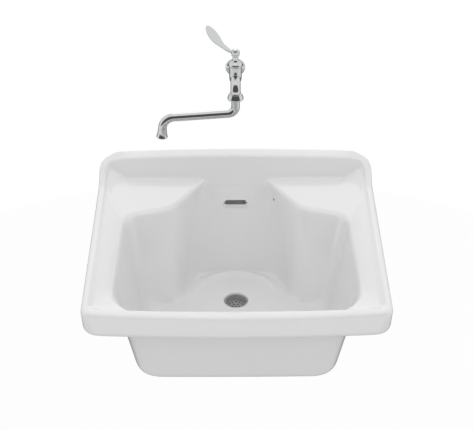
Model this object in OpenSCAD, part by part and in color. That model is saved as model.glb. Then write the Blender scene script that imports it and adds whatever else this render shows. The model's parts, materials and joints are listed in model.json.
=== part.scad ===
// Mop service sink: one-piece china basin on two wall hangers, with its waste and trap below
// and a wall faucet with a lever handle and a swivel spout above.
// +X to the right, -Y out from the wall, +Z up. The wall is the plane y = 0,
// and z = 0 is the top of the rim at the front corners.

/* [Sink] */
// Width of the sink at the wall
sink_w = 600; // [570:5:640]
// Depth from the wall to the front corners
sink_d = 534; // [515:1:565]
// How far the front edge bows out in the middle
front_bow = 11; // [4:1:18]
// How far the rim dips in the middle of the front
front_dip = 4; // [0:1:8]
// How far each front corner stands out past the back corner
front_flare = 3; // [0:1:6]
// Height of the apron
apron_h = 55; // [50:1:66]
// Width of the rounded bead along the sides
bead_w = 12; // [9:1:16]
// Width of the bead along the front
front_bead_w = 18; // [14:1:24]
// Width of the ledge between the side of the sink and the bowl
ledge_w = 53; // [45:1:62]
// Fall of the ledge and shelves towards the bowl
ledge_fall = 11; // [6:1:16]
// Thickness of the china walls
china_t = 12; // [10:1:15]

/* [Upstand and shelves] */
// Height of the upstand above the front rim
upstand_h = 49; // [42:1:58]
// How much lower the upstand is at its ends
upstand_arch = 8; // [2:1:12]
// Thickness of the upstand at its top
upstand_t = 27; // [24:1:34]
// How far the face of the upstand slopes forward
upstand_slope = 19; // [12:1:24]
// Distance from the wall to the front of the shelves
shelf_d = 148; // [132:1:165]
// How much further the shelves reach at the bowl's back corners
shelf_sweep = 27; // [10:1:36]
// Half the width of the recess where the shelves end
shoulder_x = 139; // [125:1:150]
// Half the width of the recess at the upstand
recess_x = 66; // [55:1:80]

/* [Bowl] */
// Depth of the floor below the front rim
bowl_depth = 202; // [180:1:225]
// How far each side wall leans in on its way to the floor
side_lean = 54; // [40:1:66]
// How far the front wall leans in on its way to the floor
front_lean = 60; // [45:1:72]
// How far the shelves' front walls lean out on their way to the floor
shelf_lean = 82; // [60:1:90]
// Distance from the wall to the back of the floor's round recess
floor_back = 123; // [113:1:135]
// Distance from the wall to the middle of the drain
drain_y = 219; // [210:1:230]
// Radius of the drain hole in the china
drain_r = 26; // [24:0.5:28]
// Depth of the drain hole to the outlet's seat
drain_depth = 27; // [22:1:32]
// Radius of the round dish about the drain
dish_r = 80; // [68:1:88]
// Width of the overflow slot
overflow_w = 50; // [40:1:60]
// Height of the overflow slot
overflow_h = 14; // [9:0.5:16]
// Depth of the overflow slot below the front rim
overflow_z = 57; // [50:1:64]
// Radius of the hole for the plug chain's stay
stay_r = 2.4; // [2:0.1:3]
// Depth of that hole below the front rim
stay_z = 37; // [32:1:44]

/* [Wall hangers] */
// Distance from each side of the sink in to the middle of its hanger
hanger_in = 110; // [95:5:120]
// Width of a hanger
hanger_w = 70; // [56:1:80]
// Height of a hanger's wall plate
hanger_h = 50; // [44:1:54]
// Thickness of the hanger's steel
hanger_t = 4; // [3:0.5:5]
// Gap between a hanger and the sides of its pocket
pocket_gap = 5; // [3:1:8]
// Radius of the hanger screws
screw_r = 3; // [2.5:0.25:3.5]
// Length of screw in the wall
screw_len = 45; // [30:5:60]
// Distance between the two screws of one hanger
screw_gap = 40; // [30:1:44]

/* [Waste and trap] */
// Outer radius of the drain tubes
pipe_r = 19; // [17:0.5:20]
// Wall thickness of the drain tubes
pipe_t = 1.6; // [1.2:0.1:2.2]
// Radius of the trap's bends
bend_r = 45; // [40:1:52]
// Height of the trap's outlet below the front rim
trap_out_z = 300; // [294:1:310]
// Length of pipe that enters the wall
wall_entry = 30; // [20:5:50]

/* [Faucet] */
// Height of the faucet's inlet above the front rim
faucet_z = 250; // [220:5:310]
// Radius of the inlet's thread, G 1/2
inlet_r = 10.48; // [10.3:0.01:10.6]
// Length of thread in the wall
inlet_len = 18; // [14:1:24]
// Radius of the wall flange
flange_r = 21; // [19:0.5:27]
// Depth of the wall flange
flange_d = 8; // [6:0.5:11]
// Distance from the wall to the stem's axis
stem_y = 45; // [42:1:52]
// Distance from the stem's axis to the spout's axis
branch_len = 36.5; // [34:0.5:40]
// Outer radius of the valve body
barrel_r = 13.2; // [12.8:0.1:14]
// Height of the valve body above the inlet's axis
barrel_h = 27; // [25:0.5:30]
// Radius of the spindle
spindle_r = 4; // [3.5:0.1:4.4]
// Gap round each turning or sliding fit
run_gap = 0.06; // [0.03:0.01:0.09]
// Thickness of each of the valve's two discs
disc_t = 2.2; // [2:0.1:2.4]

/* [Lever] */
// Length of the lever from the stem's axis
lever_len = 66; // [58:1:72]
// Rise of the lever's tip above its root
lever_rise = 49; // [45:1:56]
// Width of the blade
blade_w = 33; // [26:1:36]
// Thickness of the blade
blade_t = 3.2; // [2.6:0.1:4]
// Rest direction of the lever, from +X towards +Y
lever_dir = 157; // [150:1:180]

/* [Spout] */
// Outer radius of the spout tube
tube_r = 9; // [8:0.25:9.5]
// Wall thickness of the spout tube
tube_t = 1; // [0.8:0.1:1.4]
// Reach of the spout from its axis to the outlet
spout_len = 157; // [130:1:180]
// Drop from the inlet's axis to the spout's level run
spout_drop = 67; // [60:1:75]
// Fall of the level run towards the outlet, in degrees
run_fall = 2; // [0:0.5:5]
// Drop of the outlet below the end of the level run
outlet_drop = 46; // [42:1:52]
// Rest direction of the spout, from +X towards +Y
spout_dir = 184; // [180:1:200]

/* [Hidden] */
$fn = 64;
eps = 0.01;
china = [0.93, 0.94, 0.94];
chrome = [0.78, 0.79, 0.80];
brass = [0.80, 0.66, 0.38];
steel = [0.62, 0.63, 0.65];
rubber = [0.16, 0.16, 0.17];
white_plastic = [0.88, 0.88, 0.86];
grey_plastic = [0.45, 0.45, 0.45];

// ---------- outlines and rings of the basin ----------

// Points on each rounded corner, and between corners: front, side, shelf, diagonal, back
corner_steps = 4;
edge_steps = [4, 7, 2, 2, 2];
// The side's points crowd towards the wall, where the rim climbs
side_crowding = 1.7;

hw = sink_w / 2;
hanger_x = hw - hanger_in;
foot_y = upstand_t + upstand_slope;
edge_x = hw - ledge_w;
upper_depth = 38;
mid_depth = 78;
// Share of the way from the bowl's edge to its floor, at the upper and the middle ring
upper_share = 0.13;
mid_share = 0.35;
// Where the upstand's climb along the sides starts and ends
climb_from = 93;
climb_to = 10;

function unit(v) = v / norm(v);
function ease(t) = let(c = max(0, min(1, t))) c * c * (3 - 2 * c);
function bend_pt(a, p, b, t) = (1 - t) * (1 - t) * a + 2 * t * (1 - t) * p + t * t * b;
function xy(k) = [k.x, k.y];
function cut_in(k, other) =
    let(edge = xy(other) - xy(k))
    xy(k) + unit(edge) * k.z * min(1, 0.98 * norm(edge) / max(eps, k.z + other.z));

// Left half of a ring, from the middle of the front to the middle of the back.
// Each key is a corner [x, y, length of edge that its rounding takes].
function half_outline(keys) = [
    for (i = [1 : len(keys) - 1])
        let(
            last = i == len(keys) - 1,
            a = i == 1 ? xy(keys[0]) : cut_in(keys[i - 1], keys[i]),
            b = last ? xy(keys[i]) : cut_in(keys[i], keys[i - 1]),
            n = edge_steps[i - 1],
            power = i == 2 ? side_crowding : 1
        )
        each concat(
            [for (k = [(i == 1 ? 0 : 1) : n - 1]) a + (b - a) * (1 - pow(1 - k / n, power))],
            last ? [b] : [for (k = [0 : corner_steps])
                bend_pt(b, xy(keys[i]), cut_in(keys[i], keys[i + 1]), k / corner_steps)]
        )
];

function bowed(p) = p.y - front_bow * (1 - pow(min(1, abs(p.x) / hw), 2)) * pow(max(0, -p.y / sink_d), 3);

// A whole ring: the left half, then its mirror image, each point lifted by the height function
// and moved along Y by the shift function
function ring(corners, height, shift = function(x, y) 0) =
    let(
        keys = concat([[0, corners[0].y, 0]], corners, [[0, corners[len(corners) - 1].y, 0]]),
        left = half_outline(keys),
        n = len(left),
        flat = concat(left, [for (i = [n - 2 : -1 : 1]) [-left[i].x, left[i].y]])
    )
    [for (p = flat) [p.x, bowed(p) + shift(p.x, p.y), height(p.x, p.y)]];

// A circle about the drain with one point on the way to each point of another ring
function drain_ring(base, r, height) = [
    for (p = base)
        let(d = unit([p.x, p.y + drain_y]))
        [r * d.x, r * d.y - drain_y, height(d.y)]
];

function level(z) = function(x, y) z;
function dish_level(z) = function(back) z;

// Rounds each ring of the closed chain towards its two neighbours: [ring, reach, steps]
function toward(p, q, reach) = p + (q - p) * min(0.48, reach / max(eps, norm(q - p)));
function rounded_chain(chain) = [
    for (i = [0 : len(chain) - 1], k = [0 : chain[i][2]])
        let(
            here = chain[i][0],
            reach = chain[i][1],
            steps = chain[i][2],
            before = chain[(i + len(chain) - 1) % len(chain)][0],
            after = chain[(i + 1) % len(chain)][0]
        )
        [for (j = [0 : len(here) - 1])
            bend_pt(toward(here[j], before[j], reach), here[j], toward(here[j], after[j], reach), k / steps)]
];

module closed_skin(rings) {
    m = len(rings);
    n = len(rings[0]);
    polyhedron(
        points = [for (r = rings) each r],
        faces = [
            for (i = [0 : m - 1], j = [0 : n - 1])
                let(a = i * n + j, b = i * n + (j + 1) % n, c = ((i + 1) % m) * n + (j + 1) % n, d = ((i + 1) % m) * n + j)
                each [[a, b, c], [a, c, d]]
        ]
    );
}

// How far the rim has climbed towards the top of the upstand
climb = function(x, y)
    (upstand_h - upstand_arch * pow(x / hw, 2)) * (1 - 0.25 * ease((abs(x) - hw + 50) / 50))
    * ease((y + climb_from) / (climb_from - climb_to));
rim_height = function(x, y)
    climb(x, y) - front_dip * (1 - pow(min(1, abs(x) / hw), 2)) * ease((-y - sink_d + 200) / 200);
// The foot of the upstand's face rises at its ends until it meets the rim
face_end = function(x) ease((abs(x) - hw + 60) / 44);
foot_level = function(x, y) -3 - 2 * ease((-y - sink_d + 200) / 150);
foot_height = function(x, y) foot_level(x, y) + climb(x, y) * face_end(x);
foot_shift = function(x, y) (upstand_slope - 5) * face_end(x) * ease((y + foot_y + 30) / 30);
// Between the shelves the face runs on into the recess without a ledge
lip = function(x, y) (1 - ease((abs(x) - recess_x + 8) / 12)) * ease((y + shelf_d + 102) / 100);
edge_height = function(x, y) -3 - ledge_fall * max(0, min(1, (-y - foot_y) / 110)) - 14 * lip(x, y);
edge_shift = function(x, y) -5 * lip(x, y);
dish_rim_height = function(back) -bowl_depth - 2 + 10 * max(0, back);

bead_x = hw - bead_w;
bead_y = sink_d - front_bead_w;
edge_keys = [
    [-edge_x, -(bead_y - 7), 92],
    [-(edge_x - 9), -(shelf_d + shelf_sweep), 34],
    [-shoulder_x, -shelf_d, 24],
    [-recess_x, -(foot_y + 1.5), 8]
];
floor_keys = [
    [-(edge_x - side_lean - 3), -(bead_y - 1 - front_lean), 72],
    [-(edge_x - side_lean + 4), -(shelf_d + shelf_sweep + shelf_lean), 34],
    [-(shoulder_x - 11), -(shelf_d + shelf_lean), 30],
    [-(recess_x + 32), -floor_back, 76]
];
function keys_between(share, last) =
    concat([for (i = [0 : 2]) edge_keys[i] + (floor_keys[i] - edge_keys[i]) * share], [last]);
upper_keys = keys_between(upper_share, [-(recess_x + 4), -(foot_y + 12), 36]);
mid_keys = keys_between(mid_share, [-(recess_x + 8), -(foot_y + 23), 58]);
foot_keys = [
    [-(bead_x - 7), -(bead_y - 5), 20],
    [-(bead_x - 5), -foot_y, 24],
    [-shoulder_x, -foot_y, 4],
    [-recess_x - 3, -foot_y, 4]
];
outer_floor_keys = [
    [floor_keys[0].x - china_t + 1, floor_keys[0].y - china_t - 7, 46],
    [floor_keys[1].x - china_t, floor_keys[1].y + china_t - 2, 40],
    [floor_keys[2].x + china_t - 20, floor_keys[2].y + china_t + 1, 14],
    [floor_keys[3].x - 6, floor_keys[3].y + china_t + 4, 70]
];
outer_top_keys = [
    [edge_keys[0].x + 7, edge_keys[0].y - 5, 80],
    [edge_keys[1].x - china_t + 2, edge_keys[1].y + china_t + 2, 34],
    [edge_keys[2].x - china_t + 3, edge_keys[2].y + china_t + 3, 20],
    [edge_keys[3].x - china_t, edge_keys[3].y + china_t + 2, 8]
];
outer_floor_z = -(bowl_depth + 14);
underside_z = -28;
skirt_t = 14;
// The rings reach a little into the wall, and one flat cut makes the back
wall_cut = 2;

floor_ring = ring(floor_keys, level(-bowl_depth));
edge_ring = ring(edge_keys, edge_height, edge_shift);
foot_ring = ring(foot_keys, foot_height, foot_shift);
// The ledge falls off quickly where the ends of the face rise
flat_foot_ring = ring(foot_keys, foot_level, foot_shift);
ledge_ring = [
    for (i = [0 : len(foot_ring) - 1])
        flat_foot_ring[i] + 0.22 * (edge_ring[i] - flat_foot_ring[i])
            + [0, 0, 0.15 * (foot_ring[i].z - flat_foot_ring[i].z)]
];

basin_chain = [
    [ring([[-(hw + front_flare), -sink_d, 20], [-hw, wall_cut, 46], [-shoulder_x, wall_cut, 4],
        [-recess_x, wall_cut, 4]], rim_height), 11, 3],
    [ring([[-(bead_x + front_flare), -bead_y, 18], [-(bead_x - 1), -upstand_t, 18], [-shoulder_x, -upstand_t, 4],
        [-recess_x, -upstand_t, 4]], rim_height), 5, 2],
    [foot_ring, 6, 2],
    [ledge_ring, 12, 2],
    [edge_ring, 12, 3],
    [ring(upper_keys, level(-upper_depth)), 18, 1],
    [ring(mid_keys, level(-mid_depth)), 50, 3],
    [floor_ring, 42, 4],
    [drain_ring(floor_ring, dish_r + 11, dish_rim_height), 8, 2],
    [drain_ring(floor_ring, dish_r, dish_level(-(bowl_depth + 3))), 16, 2],
    [drain_ring(floor_ring, drain_r - 6, dish_level(-(bowl_depth + 6))), 1, 1],
    [drain_ring(floor_ring, drain_r - 6, dish_level(outer_floor_z)), 1, 1],
    [ring(outer_floor_keys, level(outer_floor_z)), 30, 4],
    [ring(outer_top_keys, level(underside_z)), 10, 2],
    [ring([[-(hw - skirt_t - 2), -(sink_d - skirt_t - 2), 16], [-(hw - skirt_t - 2), -skirt_t, 40],
        [-(shoulder_x + 11), -skirt_t, 4], [-(recess_x + 8), -skirt_t, 4]], level(underside_z)), 10, 2],
    [ring([[-(hw - skirt_t - 4), -(sink_d - skirt_t), 24], [-(hw - skirt_t), -skirt_t, 40],
        [-(shoulder_x + 11), -skirt_t, 4], [-(recess_x + 8), -skirt_t, 4]], level(-apron_h)), 4, 2],
    [ring([[-(hw + front_flare - 2), -(sink_d + 1), 34], [-hw, wall_cut, 46], [-shoulder_x, wall_cut, 4],
        [-recess_x, wall_cut, 4]], level(-apron_h)), 14, 3]
];

// ---------- overflow duct behind the recess ----------

duct_w = overflow_w - 6;
duct_gap = 14;
duct_t = 9;
outlet_low_z = -(bowl_depth + 6 + drain_depth + 17);
seat_z = -(bowl_depth + 6 + drain_depth);
// The recess wall's outer face, seen from the side
function back_face_y(z) =
    let(top = outer_top_keys[3], low = outer_floor_keys[3])
    top.y + (low.y - top.y) * (z - underside_z) / (outer_floor_z - underside_z);
duct_top_z = -(overflow_z - overflow_h);
duct_low_z = outer_floor_z + 8;
duct_floor_z = seat_z + 1;

module duct_solid() {
    rotate([90, 0, 90])
        linear_extrude(duct_w + 2 * duct_t, center = true)
            polygon([
                [back_face_y(duct_top_z) - 4, duct_top_z + duct_t],
                [back_face_y(duct_top_z) + duct_gap + duct_t, duct_top_z + duct_t - 6],
                [back_face_y(duct_low_z) + duct_gap + duct_t, duct_low_z],
                [-floor_back + duct_gap + duct_t - 12, duct_floor_z - duct_t],
                [-(drain_y - 30), duct_floor_z - duct_t],
                [-(drain_y - 30), outer_floor_z + 4],
                [back_face_y(duct_low_z) - 6, outer_floor_z + 14]
            ]);
}

module duct_hollow() {
    rotate([90, 0, 90])
        linear_extrude(duct_w, center = true)
            polygon([
                [back_face_y(duct_top_z) - 7, duct_top_z],
                [back_face_y(duct_top_z) + duct_gap, duct_top_z - 4],
                [back_face_y(duct_low_z) + duct_gap, duct_low_z],
                [-floor_back + duct_gap - 10, duct_floor_z],
                [-(drain_y - 12), duct_floor_z],
                [-(drain_y - 12), outer_floor_z - 2],
                [-floor_back - 8, outer_floor_z - 2],
                [back_face_y(duct_low_z) - 1, duct_low_z + 6]
            ]);
}

// Outline of the overflow slot, a thin upright plate
module slot_plate(t) {
    rotate([90, 0, 0])
        hull()
            for (side = [-1, 1])
                translate([side * (overflow_w - overflow_h) / 2, 0, -t])
                    cylinder(r = overflow_h / 2, h = t);
}

// The slot goes straight through the wall, and its bottom slopes down to the duct
slot_y = upper_keys[3].y + (mid_keys[3].y - upper_keys[3].y) * (overflow_z - upper_depth) / (mid_depth - upper_depth);
slot_through = back_face_y(-overflow_z) + duct_gap / 2 - slot_y;
slot_fall = 10;
module overflow_slot() {
    translate([0, slot_y - 40, -overflow_z])
        slot_plate(slot_through + 40);
    hull() {
        translate([0, slot_y, -overflow_z])
            slot_plate(0.5);
        translate([0, slot_y + slot_through - 0.5, -overflow_z - slot_fall])
            slot_plate(0.5);
    }
}

// The blind hole for the plug chain's stay, square to the recess's slanting wall
module stay_hole() {
    translate([recess_x + 16.5, -(foot_y + 35.2), -stay_z])
        rotate([0, 0, 36.8])
            rotate([0, 101.2, 0])
                translate([0, 0, -12])
                    cylinder(r = stay_r, h = 20);
}

// ---------- sink ----------

outlet_r = 42;
outlet_bore_r = 22.5;
mouth_round = 4;
pocket_top_z = 12;
pocket_step_z = -21;
pocket_depth = 20;
lip_z = 9;
lip_gap = 1;

module hanger_pocket() {
    translate([-hanger_w / 2 - pocket_gap, -pocket_depth, pocket_step_z])
        cube([hanger_w + 2 * pocket_gap, pocket_depth + 5, pocket_top_z - pocket_step_z]);
    translate([-hanger_w / 2 - pocket_gap, -hanger_t - 2, pocket_top_z - hanger_h - 7])
        cube([hanger_w + 2 * pocket_gap, hanger_t + 7, hanger_h]);
    translate([-hanger_w / 2 - pocket_gap, -pocket_depth, pocket_top_z - eps])
        cube([hanger_w + 2 * pocket_gap, hanger_t + 2 * lip_gap, lip_z + lip_gap]);
}

module basin() {
    color(china)
        difference() {
            union() {
                closed_skin(rounded_chain(basin_chain));
                translate([0, -drain_y, outlet_low_z])
                    cylinder(r = outlet_r, h = outer_floor_z + 6 - outlet_low_z);
                duct_solid();
            }
            translate([-hw, 0, -apron_h - 20])
                cube([sink_w, 10, apron_h + upstand_h + 40]);
            translate([0, -drain_y, seat_z])
                cylinder(r = drain_r, h = 60);
            translate([0, -drain_y, -(bowl_depth + 6) - mouth_round])
                cylinder(r1 = drain_r, r2 = drain_r + mouth_round, h = mouth_round);
            translate([0, -drain_y, outlet_low_z - 1])
                cylinder(r = outlet_bore_r, h = 60);
            duct_hollow();
            overflow_slot();
            stay_hole();
            for (side = [-1, 1])
                translate([side * hanger_x, 0, 0])
                    hanger_pocket();
        }
}

module hanger() {
    color(steel)
        difference() {
            union() {
                translate([-hanger_w / 2, -hanger_t, pocket_top_z - hanger_h])
                    cube([hanger_w, hanger_t, hanger_h]);
                translate([-hanger_w / 2, -(pocket_depth - lip_gap), pocket_top_z - hanger_t])
                    cube([hanger_w, pocket_depth - lip_gap, hanger_t]);
                translate([-hanger_w / 2, -(pocket_depth - lip_gap), pocket_top_z - hanger_t])
                    cube([hanger_w, hanger_t, hanger_t + lip_z]);
            }
            for (side = [-1, 1])
                translate([side * screw_gap / 2, 1, screw_z])
                    rotate([90, 0, 0])
                        cylinder(r = screw_r + 0.3, h = hanger_t + 2);
        }
}
screw_z = pocket_top_z - hanger_h / 2 + 1;
washer_t = 1.5;
screw_head_r = 2 * screw_r;
screw_head_h = 4;
shank_step = 0.3;

module hanger_left() {
    translate([-hanger_x, 0, 0])
        hanger();
}

module hanger_right() {
    translate([hanger_x, 0, 0])
        hanger();
}

module at_hanger_screws() {
    for (side = [-1, 1], end = [-1, 1])
        translate([side * hanger_x + end * screw_gap / 2, 0, screw_z])
            rotate([90, 0, 0])
                children();
}

module hanger_screws() {
    color(steel)
        at_hanger_screws() {
            difference() {
                translate([0, 0, hanger_t + washer_t])
                    intersection() {
                        cylinder(r = screw_head_r, h = screw_head_h);
                        translate([0, 0, screw_head_h - 2.6 * screw_r])
                            sphere(r = 2.6 * screw_r);
                    }
                translate([-screw_head_r, -0.6, hanger_t + washer_t + screw_head_h - 1.5])
                    cube([2 * screw_head_r, 1.2, 3]);
            }
            translate([0, 0, -screw_len + 3 * screw_r])
                cylinder(r = screw_r, h = screw_len - 3 * screw_r);
            translate([0, 0, -eps])
                cylinder(r = screw_r - shank_step, h = hanger_t + washer_t + 2 * eps);
            translate([0, 0, -screw_len])
                cylinder(r1 = 0.4, r2 = screw_r, h = 3 * screw_r + eps);
        }
}

module hanger_washers() {
    color(steel)
        at_hanger_screws()
            translate([0, 0, hanger_t])
                difference() {
                    cylinder(r = screw_head_r + 1.5, h = washer_t);
                    translate([0, 0, -1])
                        cylinder(r = screw_r + 0.2, h = washer_t + 2);
                }
}

// ---------- waste ----------

module ring_solid(outer, inner, h) {
    difference() {
        cylinder(r = outer, h = h);
        translate([0, 0, -1])
            cylinder(r = inner, h = h + 2);
    }
}

module hex_nut(flats, inner, h) {
    difference() {
        intersection() {
            rotate(30)
                cylinder(r = flats / sqrt(3), h = h, $fn = 6);
            rotate_extrude()
                polygon([[0, 0], [flats / 2 + 0.5, 0], [flats / sqrt(3), 2], [flats / sqrt(3), h - 2],
                    [flats / 2 + 0.5, h], [0, h]]);
        }
        translate([0, 0, -1])
            cylinder(r = inner, h = h + 2);
    }
}

gasket_t = 2;
waste_flange_r = drain_r - 0.5;
waste_flange_h = drain_depth - gasket_t - mouth_round;
waste_r = outlet_bore_r - 1.5;
waste_in_r = waste_r - 2.5;
waste_tail_h = 34;
waste_low_z = outlet_low_z - waste_tail_h;
strainer_r = waste_flange_r - 3;
strainer_t = 2;
strainer_seat_h = 5;

module waste_body() {
    color(grey_plastic)
        translate([0, -drain_y, 0])
            difference() {
                union() {
                    translate([0, 0, seat_z + gasket_t])
                        cylinder(r = waste_flange_r, h = waste_flange_h);
                    translate([0, 0, waste_low_z])
                        cylinder(r = waste_r, h = seat_z + gasket_t - waste_low_z + eps);
                }
                translate([0, 0, waste_low_z - 1])
                    cylinder(r = waste_in_r, h = seat_z + gasket_t + waste_flange_h - waste_low_z + 2);
                translate([0, 0, seat_z + gasket_t + strainer_seat_h])
                    cylinder(r = strainer_r + 0.5, h = waste_flange_h);
            }
}

module strainer() {
    color(grey_plastic)
        translate([0, -drain_y, seat_z + gasket_t + strainer_seat_h]) {
            difference() {
                cylinder(r = strainer_r, h = strainer_t);
                for (a = [0 : 60 : 300])
                    rotate(a)
                        translate([strainer_r * 0.36, 0, -1])
                            cylinder(r = 2.4, h = strainer_t + 2);
                for (a = [0 : 30 : 330])
                    rotate(a)
                        translate([strainer_r * 0.72, 0, -1])
                            cylinder(r = 2.4, h = strainer_t + 2);
            }
            translate([0, 0, strainer_t - eps])
                cylinder(r = 2.5, h = 3);
        }
}

module waste_top_gasket() {
    color(rubber)
        translate([0, -drain_y, seat_z])
            ring_solid(waste_flange_r, outlet_bore_r - 1, gasket_t);
}

module waste_bottom_gasket() {
    color(rubber)
        translate([0, -drain_y, outlet_low_z - 4])
            ring_solid(outlet_r - 8, waste_r + 0.1, 4);
}

module waste_washer() {
    color(white_plastic)
        translate([0, -drain_y, outlet_low_z - 6])
            ring_solid(outlet_r - 8, waste_r + 0.1, 2);
}

module waste_locknut() {
    color(grey_plastic)
        translate([0, -drain_y, outlet_low_z - 16])
            hex_nut(2 * waste_r + 14, waste_r + 0.1, 10);
}

// ---------- trap ----------

tail_top_z = waste_low_z - 2;
tail_flange_r = waste_r;
tail_nut_h = 18;
bend_top_z = trap_out_z + bend_r;
bend_in_y = drain_y;
bend_out_y = drain_y - 2 * bend_r;
socket_r = pipe_r + 2.6;
slip_nut_h = 16;
slip_flats = 2 * (socket_r + 3) + 4;
u_z = -(bend_top_z + 12);

module pipe(h, r = pipe_r, t = pipe_t) {
    ring_solid(r, r - t, h);
}

module tailpiece() {
    color(brass)
        translate([0, -drain_y, 0]) {
            translate([0, 0, -bend_top_z + 0.5])
                pipe(tail_top_z + bend_top_z - 0.5);
            translate([0, 0, tail_top_z - 3])
                ring_solid(tail_flange_r, pipe_r - pipe_t, 3);
        }
}

module tailpiece_seal() {
    color(rubber)
        translate([0, -drain_y, tail_top_z])
            ring_solid(tail_flange_r, pipe_r - pipe_t, 2);
}

module tailpiece_nut() {
    color(brass)
        translate([0, -drain_y, tail_top_z - 7])
            difference() {
                cylinder(r = waste_r + 4, h = tail_nut_h);
                translate([0, 0, 4])
                    cylinder(r = waste_r + 0.1, h = tail_nut_h);
                translate([0, 0, -1])
                    cylinder(r = pipe_r + 0.3, h = 8);
                for (a = [0 : 30 : 330])
                    rotate(a)
                        translate([waste_r + 5.4, 0, -1])
                            cylinder(r = 2.2, h = tail_nut_h + 2);
            }
}

module torus_part(r, sweep) {
    rotate_extrude(angle = sweep)
        translate([bend_r, 0])
            circle(r = r);
}

// The bend's outer form, or its bore, with socket ends
module bend_form(r, socket, over) {
    // up from under the drain, round the bottom and up again
    translate([0, -(bend_in_y - bend_r), u_z])
        rotate([90, 0, -90])
            rotate(180)
                torus_part(r, 180);
    for (y = [bend_in_y, bend_out_y])
        translate([0, -y, u_z])
            cylinder(r = r, h = 12);
    translate([0, -bend_in_y, -bend_top_z])
        cylinder(r = socket, h = slip_nut_h - 2 + over);
    // the outlet side turns towards the wall
    translate([0, -bend_out_y + bend_r, -bend_top_z])
        rotate([90, 0, -90])
            torus_part(r, 90);
    translate([0, -bend_out_y + bend_r - eps, -trap_out_z])
        rotate([-90, 0, 0])
            cylinder(r = socket, h = slip_nut_h - 2 + over);
}

cleanout_r = 9;

module trap_bend() {
    color(white_plastic)
        difference() {
            union() {
                bend_form(pipe_r + 1.4, socket_r, 0);
                translate([0, -(bend_in_y - bend_r), u_z - bend_r - pipe_r - 8])
                    cylinder(r = cleanout_r + 4, h = 14);
            }
            bend_form(pipe_r - pipe_t, pipe_r + 0.3, 1);
            translate([0, -(bend_in_y - bend_r), u_z - bend_r - pipe_r - 9])
                cylinder(r = cleanout_r, h = 24);
        }
}

module slip_nut() {
    difference() {
        hex_nut(slip_flats, pipe_r + 0.3, slip_nut_h + 4);
        translate([0, 0, -1])
            cylinder(r = socket_r + 0.1, h = slip_nut_h + 2);
    }
}

module slip_seal() {
    rotate_extrude()
        polygon([[pipe_r + 0.1, 0], [socket_r - 0.1, 0], [socket_r - 0.1, 1.2], [pipe_r + 0.1, 2.4]]);
}

module trap_inlet_nut() {
    color(white_plastic)
        translate([0, -bend_in_y, -bend_top_z - 0.5])
            slip_nut();
}

module trap_inlet_seal() {
    color(rubber)
        translate([0, -bend_in_y, -bend_top_z + slip_nut_h - 2])
            slip_seal();
}

module at_trap_outlet() {
    translate([0, -bend_out_y + bend_r, -trap_out_z])
        rotate([-90, 0, 0])
            children();
}

module trap_outlet_nut() {
    color(white_plastic)
        at_trap_outlet()
            translate([0, 0, -0.5])
                slip_nut();
}

module trap_outlet_seal() {
    color(rubber)
        at_trap_outlet()
            translate([0, 0, slip_nut_h - 2])
                slip_seal();
}

module cleanout_plug() {
    color(white_plastic)
        translate([0, -(bend_in_y - bend_r), u_z - bend_r - pipe_r - 8 - gasket_t]) {
            cylinder(r = cleanout_r - 0.1, h = 12);
            translate([0, 0, -7])
                cylinder(r = cleanout_r / cos(30) + 3, h = 7, $fn = 6);
        }
}

module cleanout_gasket() {
    color(rubber)
        translate([0, -(bend_in_y - bend_r), u_z - bend_r - pipe_r - 8 - gasket_t])
            ring_solid(cleanout_r + 4, cleanout_r + 0.1, gasket_t);
}

module trap_arm() {
    color(brass)
        difference() {
            translate([0, -bend_out_y + bend_r + 2, -trap_out_z])
                rotate([-90, 0, 0])
                    pipe(bend_out_y - bend_r - 2 + wall_entry);
            // shallow groove that marks the wall
            translate([0, -1, -trap_out_z])
                rotate([-90, 0, 0])
                    ring_solid(pipe_r + 1, pipe_r - 0.4, 1);
        }
}

trap_flange_r = 34;
trap_flange_d = 9;

module trap_wall_flange() {
    color(chrome)
        translate([0, 0, -trap_out_z])
            rotate([90, 0, 0])
                rotate_extrude()
                    polygon([[pipe_r + 2.2, 0], [trap_flange_r, 0], [trap_flange_r, 1], [trap_flange_r - 6, 5],
                        [pipe_r + 6, trap_flange_d], [pipe_r + 0.3, trap_flange_d], [pipe_r + 0.3, trap_flange_d - 2],
                        [pipe_r + 2.2, trap_flange_d - 3]]);
}

module trap_wall_seal() {
    color(rubber)
        translate([0, 0, -trap_out_z])
            rotate([90, 0, 0])
                ring_solid(pipe_r + 2, pipe_r + 0.1, trap_flange_d - 3.2);
}

// ---------- faucet body ----------

neck_r = 7.8;
water_r = 5.5;
chamber_r = 10;
branch_r = 10.6;
branch_bend = 15.5;
branch_bore = 6.5;
spout_y = stem_y + branch_len;
nut_thread_r = 12.2;
nut_top = 19;
nut_low = 32.5;
thread_low = 26;
leg_stop = 20.5;
seat_h = 7;
seat_r = 5;
disc_r = 7.3;
seal_t = 1;
disc_low = seat_h + seal_t;
collar_low = 17;
stem_collar_r = 7;
collar_bore_to = 22;
passage_y = 10;
passage_r = 1.9;
passage_z = disc_low + 2 * disc_t + 2.1;

module at_stem() {
    translate([0, -stem_y, faucet_z])
        children();
}

module at_spout() {
    translate([0, -spout_y, faucet_z])
        children();
}

// Quarter turn from the barrel's front down to the spout's axis
module branch(r) {
    translate([0, -spout_y + branch_bend, faucet_z - branch_bend])
        rotate([90, 0, -90])
            rotate_extrude(angle = 90)
                translate([branch_bend, 0])
                    circle(r = r);
}

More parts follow.
